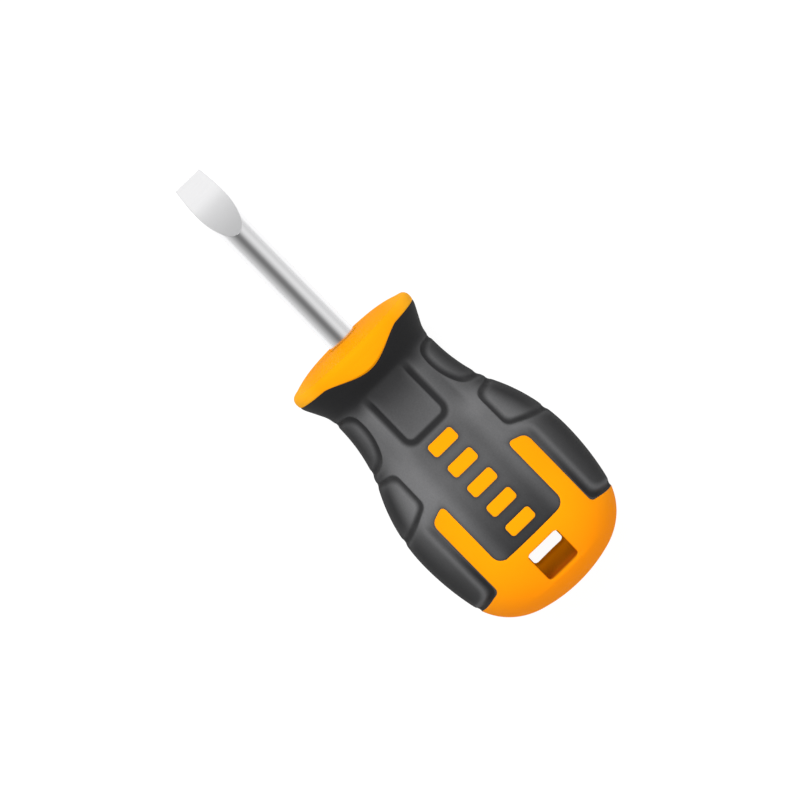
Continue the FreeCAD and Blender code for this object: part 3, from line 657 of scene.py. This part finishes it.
def painted_light(place, across, height):
    """Painted light: the share of the grip's lit grey where light falls, from the distance across and the
    size of the turn's sine.

    It rises from the neck to the swell, fades towards the butt and is nothing at the sides, left in
    painted shade.
    It is less down the middle than in the strips beside it, and a little less on one side of the swell, as
    painted shade.
    """
    side, reach = np.abs(across), place - FRONT
    neck, belly = fade(18.0, 24.0, reach), rise(29.0, 34.0, reach)
    beside = rise(4.2, 5.6, side) * neck + rise(4.4, 7.6, side) * (1.0 - neck)
    middle = rise(7.2, 20.8, reach) * 0.61 * (1.0 - 0.8 * rise(28.0, 46.0, reach))
    strips = rise(8.6, 12.6, reach) * (1.0 - 0.48 * rise(32.0, 44.0, reach))
    by_thumb = (0.16 + 0.3 * rise(0.0, 5.0, across)) * neck * fade(7.4, 8.4, side)
    strips = strips * (1.0 - by_thumb)
    around = rise(0.3, 0.95, height) * neck + rise(0.3, 0.98, height) * belly
    around = around + rise(0.38, 0.72, height) * (1.0 - neck - belly)
    one_sided = rise(22.0, 26.0, reach) * fade(38.0, 44.0, reach) * rise(2.5, 5.0, across)
    return (strips * beside + middle * (1.0 - beside)) * around * (1.0 - 0.17 * one_sided)


def build_grip(sizes):
    """The soft grip as a closed sleeve: its skin with every groove, and a plain inner side.

    Its last rows bend forward over the front and the back, where the centre panel ends earlier. The mask
    of hollows is painted shade: the beds of the grooves, the seams and the guard's shadow on the slope
    behind it.
    """
    closer = [(NECK - 1.0, 2.0, 0.3), (PAD_END, 1.5, 0.3)]
    x = stations(RIM_CREST[0] + 0.3, GRIP_END, ROWS["grip"], closer)[0][:, None]
    even = np.linspace(0.0, 2 * math.pi, COLUMNS, endpoint=False)
    turn = (even - 0.06 * np.sin(2 * even))[None]
    height = np.abs(np.sin(turn))
    end = x[-1, 0]
    last = end - (end - PANEL_END - 1.1) * rise(0.74, 0.9, height)
    place = np.where(x < BELLY, x, BELLY + (x - BELLY) * (last - BELLY) / (end - BELLY))
    skin = section(place, half_width(place), turn, sizes.flat_sharpness)
    across = skin * np.cos(turn)
    relief, beds, painted_highlight = pad_relief(place, across, skin * np.sin(turn), sizes)
    bars = np.where(np.sin(turn) > 0, bar_distance(place, across, sizes.bar_count), FAR)
    past = np.maximum(-guard_distance(place, across), butt_distance(place, across))
    past = np.maximum(past, -bars)
    outer = wrap(place, skin - np.maximum(relief, seam_drop(past, sizes)), turn)
    rows = np.linspace(len(x) - 1, 0, ROWS["lining"]).astype(int)
    points = np.concatenate([outer, wrap(place[rows], skin[rows] - BURIED - 0.25, turn)])
    total = len(points)
    faces = band_faces(grid_numbers(total + 1, COLUMNS)) % (total * COLUMNS)
    # Painted shade along the seams, in the groove beds on the front and back, and as the guard's shadow
    # behind it.
    seams = np.exp(-np.maximum(-past, 0.0) / 0.35) * 0.7
    slope = 0.85 - 0.85 * rise(7.6, 9.4, place - FRONT)
    hollow = np.maximum(np.maximum(beds * rise(0.35, 0.62, height), seams), slope)
    # Painted light and shade for the grey: its lit share, a painted highlight, and painted shade in the
    # hollows.
    masks = {"painted_lit_share": painted_light(place, across, height), "painted_highlight": painted_highlight, "hollow": hollow}
    hidden = np.zeros((len(rows), COLUMNS))
    masks = {name: np.concatenate([mask, hidden]) for name, mask in masks.items()}
    piece = make_piece("grip_skin", points, [faces], ["soft_plastic_grey"], masks)
    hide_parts("soft_grip")


def butt_columns(x, sharpness):
    """Turns of the butt's columns, row by row, so that columns run beside the hanging hole's long sides.

    A quarter has even turns at the side and then lines of constant distance from the centre line, which
    lie close together where the hole's edge is. The turn that gives a distance is found by repeating
    turn = arc cosine (distance / section).
    """
    near_hole = np.array([3.2, 2.5, 1.9, 1.4, 1.0, 0.7, 0.5, 0.37, 0.26, 0.17, 0.09, 0.03, 0.0])
    outer = np.linspace(11.9, HOLE_HALF_WIDTH + 3.4, 26)
    inside = np.linspace(HOLE_HALF_WIDTH, 0.0, 16)[1:]
    lines = np.concatenate([outer, HOLE_HALF_WIDTH + near_hole, inside])
    held = np.minimum(x, HOLE_END + 0.4)
    width = half_width(held)
    turn = np.full((len(x), len(lines)), 1.2)
    for _ in range(12):
        turn = np.arccos(np.clip(lines / section(held, width, turn, sharpness), 0.0, 1.0))
    side = np.linspace(0.0, 1.0, 40)[None, :-1] * turn[:, :1]
    quarter = np.concatenate([side, turn], axis=1)
    half = np.concatenate([quarter, math.pi - quarter[:, -2::-1]], axis=1)
    return np.concatenate([half, math.pi + half[:, 1:-1]], axis=1), quarter.shape[1] - 1, len(inside)


def drawn_in(place, across):
    """How far points near the hanging hole move in plan, so that its corners come out rounded.

    The nearest point of the square-cornered hole is drawn onto the corner's arc, and its neighbours
    follow it by a share that falls to nothing at the pull's reach.
    """
    middle = np.array([(HOLE_START + HOLE_END) / 2, 0.0])
    half = np.array([(HOLE_END - HOLE_START) / 2, HOLE_HALF_WIDTH])
    nearest = np.stack([np.clip(place, HOLE_START, HOLE_END),
                        np.clip(across, -HOLE_HALF_WIDTH, HOLE_HALF_WIDTH)], axis=-1)
    excess = np.maximum(hole_distance(nearest[..., 0], nearest[..., 1]), 0.0)
    away = nearest - (middle + np.sign(nearest - middle) * (half - HOLE_ROUND))
    away = away / np.maximum(np.linalg.norm(away, axis=-1, keepdims=True), 1e-6)
    reach = np.hypot(place - nearest[..., 0], across - nearest[..., 1])
    return away * (excess * np.clip(1.0 - reach / HOLE_PULL, 0.0, 1.0))[..., None]


def build_butt(sizes):
    """The arms, the dome and the rectangular hanging hole through it, as one closed surface.

    Rows and columns meet the hole's sides, its corners are drawn in to their rounding, its rim is a
    quarter circle, and straight walls join the front opening to the back one.
    """
    grid_x, grid_r = stations(ARM_TOP - 2.2, HOLE_START - 1.0, ROWS["arms"], [(ARM_TOP + 0.6, 1.5, 0.5)])
    near = np.array([0.8, 0.6, 0.45, 0.34, 0.26, 0.17, 0.09, 0.03, 0.0])
    hole_x = np.concatenate([HOLE_START - near, np.linspace(HOLE_START, HOLE_END, HOLE_STEPS + 1)[1:-1],
                             HOLE_END + near[::-1]])
    end_x, end_r = stations(HOLE_END + 1.0, END, ROWS["dome"])
    x = np.concatenate([grid_x, hole_x, end_x[:-1]])[:, None]
    radius = np.concatenate([grid_r, half_width(hole_x), end_r[:-1]])[:, None]
    turn, centre, inside = butt_columns(x, sizes.flat_sharpness)
    rows, columns = turn.shape
    skin = section(x, radius, turn, sizes.flat_sharpness)
    across = skin * np.cos(turn)
    place = x + 0 * turn
    drop = seam_drop(-butt_distance(place, across), sizes, 0.5)
    gap = np.clip(hole_distance(place, across), 0.0, HOLE_RIM)
    fillet = HOLE_RIM - np.sqrt(HOLE_RIM ** 2 - (HOLE_RIM - gap) ** 2)
    points = wrap(x, skin - np.maximum(drop, fillet), turn)
    points[..., :2] -= drawn_in(place, across)

    first_row = len(grid_x) + len(near) - 1
    last_row = first_row + HOLE_STEPS
    keep = np.ones((rows - 1, columns), dtype=bool)
    for middle in (centre, columns - centre):
        keep[first_row:last_row, middle - inside:middle + inside] = False
    window = grid_numbers(rows, columns)[first_row:last_row + 1, centre - inside:centre + inside + 1]
    top = loop_round(window.T)
    bottom = top - top % columns + -top % columns
    flat = points.reshape(-1, 3)
    levels = np.linspace(0.0, 1.0, WALL_RINGS + 2)[1:-1, None, None]
    wall = (flat[top][None] * (1 - levels) + flat[bottom][None] * levels).reshape(-1, 3)
    rings = np.concatenate([[top], len(flat) + grid_numbers(WALL_RINGS, len(top)), [bottom]])
    wall_faces = band_faces(rings)[..., [0, 3, 2, 1]]
    quads, front_fan, back_fan = capped_faces(rows, columns, len(flat) + len(wall))
    quads = quads[keep]
    # Painted shade: a deeper orange over the dome, where it turns from the light; the mask named thickness
    # carries it.
    dome = rise(HOLE_START - 4.0, HOLE_END + 2.0, place).ravel()
    # Painted shade on the hole's walls, darker near both mouths and most at the front one; where the mask
    # is full the walls glow faintly.
    inner = (rise(0.0, 0.8, levels) * (1.0 - 0.6 * rise(0.75, 1.0, levels))).ravel()
    masks = {"thickness": np.concatenate([dome, np.repeat(inner, len(top)), [0.0, 1.0]])}
    piece = make_piece("butt", with_poles(np.concatenate([flat, wall]), x[0, 0], END),
                       [quads, wall_faces, front_fan, back_fan],
                       ["hard_plastic_yellow", "hard_plastic_matt"], masks)
    matt = np.zeros(len(piece.data.polygons), dtype=np.int32)
    matt[len(quads):len(quads) + wall_faces.size // 4] = 1
    piece.data.polygons.foreach_set("material_index", matt)
    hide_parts("handle_body")


def skin_height(x, y, sharpness):
    """Height of the front skin over a point in plan, by repeating turn = angle of (y, height)."""
    width = half_width(x)
    height = half_depth(x)
    for _ in range(10):
        distance = section(x, width, np.arctan2(height, y), sharpness)
        height = np.sqrt(np.maximum(distance ** 2 - y ** 2, 0.0))
    return height


def build_bar(index, sizes):
    """One plain bar: a patch of the handle's skin over a rounded rectangle, dipping at its edge."""
    centre = bar_centre(index)
    rows, columns = [np.sin(np.linspace(-1.0, 1.0, count) * math.pi / 2) for count in (45, 65)]
    along, across = np.meshgrid(centre + rows * (BAR_HALF_WIDTH + BAR_MARGIN),
                                columns * (BAR_HALF_LENGTH + BAR_MARGIN), indexing="ij")
    drop = seam_drop(one_bar_distance(along, across, centre), sizes)
    top = np.stack([along, across, skin_height(along, across, sizes.flat_sharpness) - drop], axis=-1)
    numbers = grid_numbers(*along.shape)
    quads = np.stack([numbers[:-1, :-1], numbers[1:, :-1], numbers[1:, 1:], numbers[:-1, 1:]], axis=-1)
    loop = loop_round(numbers)
    sides = band_faces(np.stack([loop, loop + along.size]))
    piece = make_piece(f"bar_{index + 1}", np.stack([top, top - (0.0, 0.0, BAR_THICKNESS)]),
                       [quads, quads[..., ::-1] + along.size, sides], ["hard_plastic_yellow"])
    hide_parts("handle_body")


# ---- materials

# Where a Mix node keeps what it needs for colours.
MIX_FACTOR, MIX_FIRST, MIX_SECOND, MIX_RESULT = 0, 6, 7, 2


def set_inputs(tree, node, sources):
    """Links outputs to a node's inputs, each by its name or number, or sets these to plain values."""
    for key, source in sources.items():
        if isinstance(source, NodeSocket):
            tree.links.new(source, node.inputs[key])
        else:
            node.inputs[key].default_value = source


def add_node(tree, kind, sources=None, **values):
    """A node with its settings made and its inputs connected."""
    node = tree.nodes.new(kind)
    for key, value in values.items():
        setattr(node, key, value)
    set_inputs(tree, node, sources or {})
    return node


def maths(tree, operation, first, second=0.5):
    return add_node(tree, "ShaderNodeMath", {0: first, 1: second}, operation=operation).outputs[0]


def ranged(tree, value, source=(0.0, 1.0), target=(0.0, 1.0)):
    """A value carried from one range to another, and held inside it."""
    node = add_node(tree, "ShaderNodeMapRange", {
        "Value": value, "From Min": source[0], "From Max": source[1],
        "To Min": target[0], "To Max": target[1]})
    return node.outputs["Result"]


def painted(tree, name):
    """A mask that the mesh carries."""
    return add_node(tree, "ShaderNodeAttribute", attribute_name=name).outputs["Fac"]


def object_place(tree):
    return add_node(tree, "ShaderNodeTexCoord").outputs["Object"]


def noise(tree, place, scale, detail, roughness=0.5):
    return add_node(tree, "ShaderNodeTexNoise", {
        "Vector": place, "Scale": scale, "Detail": detail, "Roughness": roughness}).outputs["Fac"]


def bump(tree, height, strength, distance):
    return add_node(tree, "ShaderNodeBump", {
        "Height": height, "Strength": strength, "Distance": distance}).outputs["Normal"]


def colour_mix(tree, mask, *colours):
    """A mix of two colours, each either three numbers or an output socket, by a mask."""
    first, second = [tone if isinstance(tone, NodeSocket) else (*tone, 1.0) for tone in colours]
    inputs = {MIX_FACTOR: mask, MIX_FIRST: first, MIX_SECOND: second}
    return add_node(tree, "ShaderNodeMix", inputs, data_type="RGBA").outputs[MIX_RESULT]


def new_group(name, inputs, outputs):
    """An empty shader node group with named number sockets, its inputs' values and its end."""
    group = bpy.data.node_groups.new(name, "ShaderNodeTree")
    for title, default in inputs.items():
        socket = group.interface.new_socket(title, in_out="INPUT", socket_type="NodeSocketFloat")
        socket.default_value = default
    for title in outputs:
        group.interface.new_socket(title, in_out="OUTPUT", socket_type="NodeSocketFloat")
    return group, group.nodes.new("NodeGroupInput").outputs, group.nodes.new("NodeGroupOutput")


def grain_group():
    """Fine moulded texture: a mask and a height, from two sizes of noise on object coordinates."""
    group, given, end = new_group("moulded_grain", {"Scale": 3000.0, "Mix": 0.5}, ["Height", "Mask"])
    place = object_place(group)
    fine = noise(group, place, given["Scale"], 3.0, 0.6)
    cells = add_node(group, "ShaderNodeTexVoronoi", {"Vector": place, "Scale": given["Scale"]})
    height = add_node(group, "ShaderNodeMix", {
        "Factor": given["Mix"], "A": fine, "B": cells.outputs["Distance"]})
    set_inputs(group, end, {"Height": height.outputs["Result"], "Mask": fine})
    return group


def handling_group():
    """Broad patches where hands have polished a surface, as a mask from low noise."""
    group, given, end = new_group("handling_marks", {"Scale": 60.0, "Amount": 0.5}, ["Mask"])
    broad = noise(group, object_place(group), given["Scale"], 4.0, 0.55)
    patches = ranged(group, broad, (0.35, 0.68))
    set_inputs(group, end, {"Mask": maths(group, "MULTIPLY", patches, given["Amount"])})
    return group


def use_group(tree, name, **values):
    """The outputs of a node group, which is made the first time that a material asks for it."""
    makers = {"moulded_grain": grain_group, "handling_marks": handling_group}
    group = bpy.data.node_groups.get(name) or makers[name]()
    node = add_node(tree, "ShaderNodeGroup", node_tree=group)
    set_inputs(tree, node, values)
    return node.outputs


def new_material(name):
    material = bpy.data.materials.new(name)
    material.use_nodes = True
    return material, material.node_tree, material.node_tree.nodes["Principled BSDF"]


def chosen(name):
    """A colour from the sidebar."""
    return np.array(getattr(bpy.context.scene.driver_finishes, name))


def hard_finish(tree):
    """Glossy moulded plastic with a faint orange-peel skin, polished by handling.

    Its colour is painted a deeper orange over the dome as shade, and paler and yellower at the guard's
    rims as a painted highlight.
    """
    colour = chosen("hard_colour")
    handled = use_group(tree, "handling_marks", Scale=70.0, Amount=1.0)["Mask"]
    tone = colour_mix(tree, handled, colour, colour * (0.98, 0.95, 0.9))
    # Painted shade: a deeper orange over the dome, carried by the mask named thickness.
    tone = colour_mix(tree, painted(tree, "thickness"), tone, colour * (1.0, 0.78, 0.9))
    skin = use_group(tree, "moulded_grain", Scale=1400.0, Mix=0.2)
    return {
        # Painted highlight: paler and yellower at the guard's rims.
        "Base Color": colour_mix(tree, painted(tree, "painted_highlight"), tone, colour * (0.97, 1.16, 5.0)),
        "Roughness": ranged(tree, handled, target=(0.42, 0.34)),
        "Normal": bump(tree, skin["Height"], 0.1, 0.00004),
        "Specular IOR Level": 0.0, "Coat Weight": 0.07, "Coat Roughness": 0.28}


def inner_finish(tree):
    """The same plastic where the mould left it matt, inside the hanging hole.

    It has faint dusty patches, and it is painted darker near the hole's mouths as shade. Deeper in, a
    faint painted glow brightens it.
    """
    colour = chosen("hard_colour")
    dusty = use_group(tree, "handling_marks", Scale=160.0, Amount=0.6)["Mask"]
    inside = painted(tree, "thickness")
    tone = colour_mix(tree, dusty, colour * (0.9, 1.15, 6.0), colour * (0.85, 1.05, 6.0))
    skin = use_group(tree, "moulded_grain", Scale=1800.0, Mix=0.4)
    return {
        # Painted shade: darker and browner near the hole's mouths.
        "Base Color": colour_mix(tree, inside, colour * (0.52, 0.31, 2.0), tone),
        # A painted glow deeper in the hole, though nothing there gives light.
        "Emission Color": colour_mix(tree, inside, (0.0, 0.0, 0.0), colour * (1.0, 1.65, 1.0)),
        "Emission Strength": 0.09, "Normal": bump(tree, skin["Height"], 0.2, 0.00004),
        "Roughness": 0.9, "Specular IOR Level": 0.0}


def soft_finish(tree):
    """Matt thermoplastic rubber with fine texture and random patches, and painted light and shade in its
    colour.
    """
    dark, pale = chosen("shaded_soft_colour"), chosen("lit_soft_colour")
    skin = use_group(tree, "moulded_grain", Scale=3200.0, Mix=0.45)
    patches = use_group(tree, "handling_marks", Scale=110.0, Amount=0.16)["Mask"]
    # Painted light: the lit share of the grey, broken up by random patches.
    painted_lit_share = maths(tree, "MULTIPLY", painted(tree, "painted_lit_share"), maths(tree, "SUBTRACT", 1.0, patches))
    tone = colour_mix(tree, painted_lit_share, dark, pale)
    # Painted highlight: paler on the groove shoulders and the beads.
    tone = colour_mix(tree, maths(tree, "MULTIPLY", painted(tree, "painted_highlight"), 0.5), tone, pale)
    # Painted shade in the grooves, along the seams and behind the guard.
    tone = colour_mix(tree, maths(tree, "MULTIPLY", painted(tree, "hollow"), 0.88), tone, dark * 0.75)
    speckle = ranged(tree, skin["Mask"], (0.3, 0.7), (0.0, 0.12))
    return {
        "Base Color": colour_mix(tree, speckle, tone, (0.0, 0.0, 0.0)),
        "Roughness": ranged(tree, painted_lit_share, target=(0.7, 0.55)),
        "Normal": bump(tree, skin["Height"], 0.35, 0.00004), "Specular IOR Level": 0.1}


def steel_finish(tree):
    """Bright plating on the shaft, and a satin ground tip with fine lines across the grind, painted darker
    over the grind as shade.
    """
    ground = painted(tree, "ground")
    handled = use_group(tree, "handling_marks", Scale=150.0, Amount=0.05)["Mask"]
    stretched = add_node(tree, "ShaderNodeMapping", {
        "Vector": object_place(tree), "Scale": (6000.0, 250.0, 250.0)})
    lines = noise(tree, stretched.outputs["Vector"], 1.0, 2.0)
    scored = maths(tree, "MULTIPLY", lines, ground)
    colour = chosen("steel_colour")
    tone = colour_mix(tree, scored, colour, colour * 0.92)
    return {
        # Painted shade over the scoop of the grind.
        "Base Color": colour_mix(tree, painted(tree, "painted_scoop_shade"), tone, colour * 0.7),
        "Metallic": ranged(tree, ground, target=(1.0, 0.22)),
        "Roughness": maths(tree, "ADD", ranged(tree, ground, target=(0.1, 0.42)), handled),
        "Normal": bump(tree, scored, 0.25, 0.00003)}


def core_finish(tree):
    """Plain dark moulding for the slug inside the handle."""
    skin = use_group(tree, "moulded_grain", Scale=900.0, Mix=0.3)
    return {
        "Base Color": colour_mix(tree, skin["Mask"], (0.02, 0.02, 0.022), (0.035, 0.035, 0.037)),
        "Normal": bump(tree, skin["Height"], 0.2, 0.00005), "Roughness": 0.55}


# What each finish feeds into its shader.
FINISHES = {"hard_plastic_yellow": hard_finish, "hard_plastic_matt": inner_finish,
            "soft_plastic_grey": soft_finish, "plated_steel": steel_finish,
            "core_moulding": core_finish}


def finish_of(name):
    """A material by its name, made the first time that a piece asks for it."""
    material = bpy.data.materials.get(name)
    if material is None:
        material, tree, shader = new_material(name)
        set_inputs(tree, shader, FINISHES[name](tree))
    return material


# ---- studio

def make_floor():
    """A pale square under the handle. Seen straight on it is white, and it keeps a faint shadow."""
    level = -BELLY_HALF_DEPTH - 0.15
    signs = ((-1, -1), (1, -1), (1, 1), (-1, 1))
    corners = np.array([[x * FLOOR_HALF, y * FLOOR_HALF, level] for x, y in signs]) * MM
    mesh = bpy.data.meshes.new("floor")
    mesh.from_pydata(corners.tolist(), [], [(0, 1, 2, 3)])
    floor = add_to_scene("floor", mesh)
    material, tree, shader = new_material("pale_floor")
    path = add_node(tree, "ShaderNodeLightPath").outputs
    away = add_node(tree, "ShaderNodeVectorMath", {0: object_place(tree)}, operation="LENGTH")
    near = ranged(tree, away.outputs["Value"], (0.055, 0.1), (1.0, 0.15))
    gloss = maths(tree, "MULTIPLY", path["Is Glossy Ray"], near)
    seen = maths(tree, "MAXIMUM", path["Is Camera Ray"], gloss)
    seen = maths(tree, "MAXIMUM", seen, path["Is Transmission Ray"])
    set_inputs(tree, shader, {
        "Base Color": colour_mix(tree, seen, (0.7, 0.7, 0.7), (0.14, 0.14, 0.14)),
        "Emission Color": (1.0, 1.0, 1.0, 1.0), "Emission Strength": maths(tree, "MULTIPLY", seen, 0.92),
        "Roughness": 1.0, "Specular IOR Level": 0.0})
    mesh.materials.append(material)


def make_room(settings):
    """An even pale room. What gloss sees of it changes round the blade's axis and is darkest overhead.

    The angle round the axis is the arc tangent of y over z, from -180 to 180 degrees.
    """
    world = bpy.data.worlds.new("room")
    world.use_nodes = True
    tree = world.node_tree
    path = add_node(tree, "ShaderNodeLightPath").outputs
    place = add_node(tree, "ShaderNodeTexCoord").outputs["Generated"]
    parts = add_node(tree, "ShaderNodeSeparateXYZ", {"Vector": place}).outputs
    angle = maths(tree, "ARCTAN2", parts["Y"], parts["Z"])
    ramp = add_node(tree, "ShaderNodeValToRGB", {"Fac": ranged(tree, angle, (-math.pi, math.pi))})
    elements = ramp.color_ramp.elements
    while len(elements) < len(ROOM_STOPS):
        elements.new(0.5)
    for element, (degrees, level) in zip(elements, ROOM_STOPS):
        element.position = (degrees + 180.0) / 360.0
        element.color = (level, level, level, 1.0)
    far = ranged(tree, maths(tree, "ABSOLUTE", parts["X"]), (0.5, 0.95), (0.0, 0.7))
    gloss = colour_mix(tree, far, ramp.outputs["Color"], (0.0, 0.0, 0.0))
    lit = colour_mix(tree, path["Is Diffuse Ray"], gloss, (settings.room_level,) * 3)
    set_inputs(tree, tree.nodes["Background"], {
        "Color": colour_mix(tree, path["Is Camera Ray"], lit, (1.0, 1.0, 1.0))})
    bpy.context.scene.world = world


def make_lamp(name, power, size, direction):
    """A square light that stands off the handle, lights it and isn't mirrored in it."""
    lamp = bpy.data.lights.new(name, "AREA")
    lamp.shape = "SQUARE"
    lamp.size = size
    lamp.energy = power
    away = Vector(direction).normalized()
    light = add_to_scene(name, lamp)
    turn = away.to_track_quat("Z", "Y").to_matrix().to_4x4()
    light.matrix_world = Matrix.Translation(LAMP_TARGET + away * LAMP_AWAY) @ turn
    light.visible_glossy = False


def make_camera(settings):
    """A long lens almost straight above the front, leaning a little, with the tool across the frame."""
    along = Vector((math.cos(CAMERA_LEAN), 0.0, math.sin(CAMERA_LEAN)))
    back = Vector((-math.sin(CAMERA_LEAN), 0.0, math.cos(CAMERA_LEAN)))
    across = Vector((0.0, 1.0, 0.0))
    right = along * math.cos(CAMERA_ROLL) + across * math.sin(CAMERA_ROLL)
    up = across * math.cos(CAMERA_ROLL) - along * math.sin(CAMERA_ROLL)
    lens = bpy.data.cameras.new("camera")
    lens.sensor_width = 36.0
    lens.lens = settings.camera_lens
    lens.clip_end = 20.0
    camera = add_to_scene("camera", lens)
    turn = Matrix((right, up, back)).transposed().to_4x4()
    camera.matrix_world = Matrix.Translation(CAMERA_TARGET + back * CAMERA_AWAY) @ turn
    bpy.context.scene.camera = camera


# ---- operators

class DRIVER_OT_blade(Operator):
    """Builds the plated blade with its ground tip"""
    bl_idname = "driver.blade"
    bl_label = "Blade"

    def execute(self, context):
        build_blade(context.scene.driver_blade)
        return {"FINISHED"}


class DRIVER_OT_guard(Operator):
    """Builds the hard guard in front of the grip"""
    bl_idname = "driver.guard"
    bl_label = "Guard"

    def execute(self, context):
        build_guard(context.scene.driver_handle)
        return {"FINISHED"}


class DRIVER_OT_grip(Operator):
    """Builds the soft grip with its pads and grooves"""
    bl_idname = "driver.grip"
    bl_label = "Grip"

    def execute(self, context):
        build_grip(context.scene.driver_handle)
        return {"FINISHED"}


class DRIVER_OT_butt(Operator):
    """Builds the arms, the dome and the hanging hole"""
    bl_idname = "driver.butt"
    bl_label = "Butt"

    def execute(self, context):
        build_butt(context.scene.driver_handle)
        return {"FINISHED"}


class DRIVER_OT_bars(Operator):
    """Builds the plain bars across the front of the grip"""
    bl_idname = "driver.bars"
    bl_label = "Bars"

    def execute(self, context):
        sizes = context.scene.driver_handle
        for index in range(sizes.bar_count):
            build_bar(index, sizes)
        return {"FINISHED"}


class DRIVER_OT_core(Operator):
    """Gives the slug inside the handle its own moulded finish"""
    bl_idname = "driver.core"
    bl_label = "Core"

    def execute(self, context):
        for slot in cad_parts["inner_core"].material_slots:
            slot.material = finish_of("core_moulding")
        return {"FINISHED"}


class DRIVER_OT_studio(Operator):
    """Sets a pale floor, plain soft light and the camera"""
    bl_idname = "driver.studio"
    bl_label = "Studio"

    def execute(self, context):
        settings = context.scene.driver_studio
        make_floor()
        make_room(settings)
        make_lamp("key", settings.key_power, 0.34, (-0.48, -0.05, 0.86))
        make_lamp("fill", settings.fill_power, 0.5, (0.86, 0.1, 0.5))
        make_camera(settings)
        context.scene.view_settings.view_transform = "Standard"
        return {"FINISHED"}


class DRIVER_PT_build(Panel):
    """Lists the steps and the sizes of the screwdriver"""
    bl_idname = "DRIVER_PT_build"
    bl_label = "Stubby screwdriver"
    bl_space_type = "VIEW_3D"
    bl_region_type = "UI"
    bl_category = "Screwdriver"

    def draw(self, context):
        for operator in STEPS:
            self.layout.operator(operator.bl_idname)
        for group_name in GROUPS:
            group = getattr(context.scene, group_name)
            box = self.layout.box()
            for name in group.__annotations__:
                box.prop(group, name)


GROUPS = {"driver_blade": BladeSizes, "driver_handle": HandleSizes, "driver_finishes": Finishes,
          "driver_studio": StudioSettings}
STEPS = (DRIVER_OT_blade, DRIVER_OT_guard, DRIVER_OT_grip, DRIVER_OT_butt, DRIVER_OT_bars, DRIVER_OT_core,
         DRIVER_OT_studio)


def register():
    for group in GROUPS.values():
        bpy.utils.register_class(group)
    for name, group in GROUPS.items():
        setattr(bpy.types.Scene, name, PointerProperty(type=group))
    for step in STEPS:
        bpy.utils.register_class(step)
    bpy.utils.register_class(DRIVER_PT_build)


def unregister():
    bpy.utils.unregister_class(DRIVER_PT_build)
    for step in reversed(STEPS):
        bpy.utils.unregister_class(step)
    for name in GROUPS:
        delattr(bpy.types.Scene, name)
    for group in reversed(list(GROUPS.values())):
        bpy.utils.unregister_class(group)


def main():
    """Builds every piece in order."""
    register()
    for step in ("blade", "guard", "grip", "butt", "bars", "core", "studio"):
        getattr(bpy.ops.driver, step)()


if __name__ == "__main__":
    main()
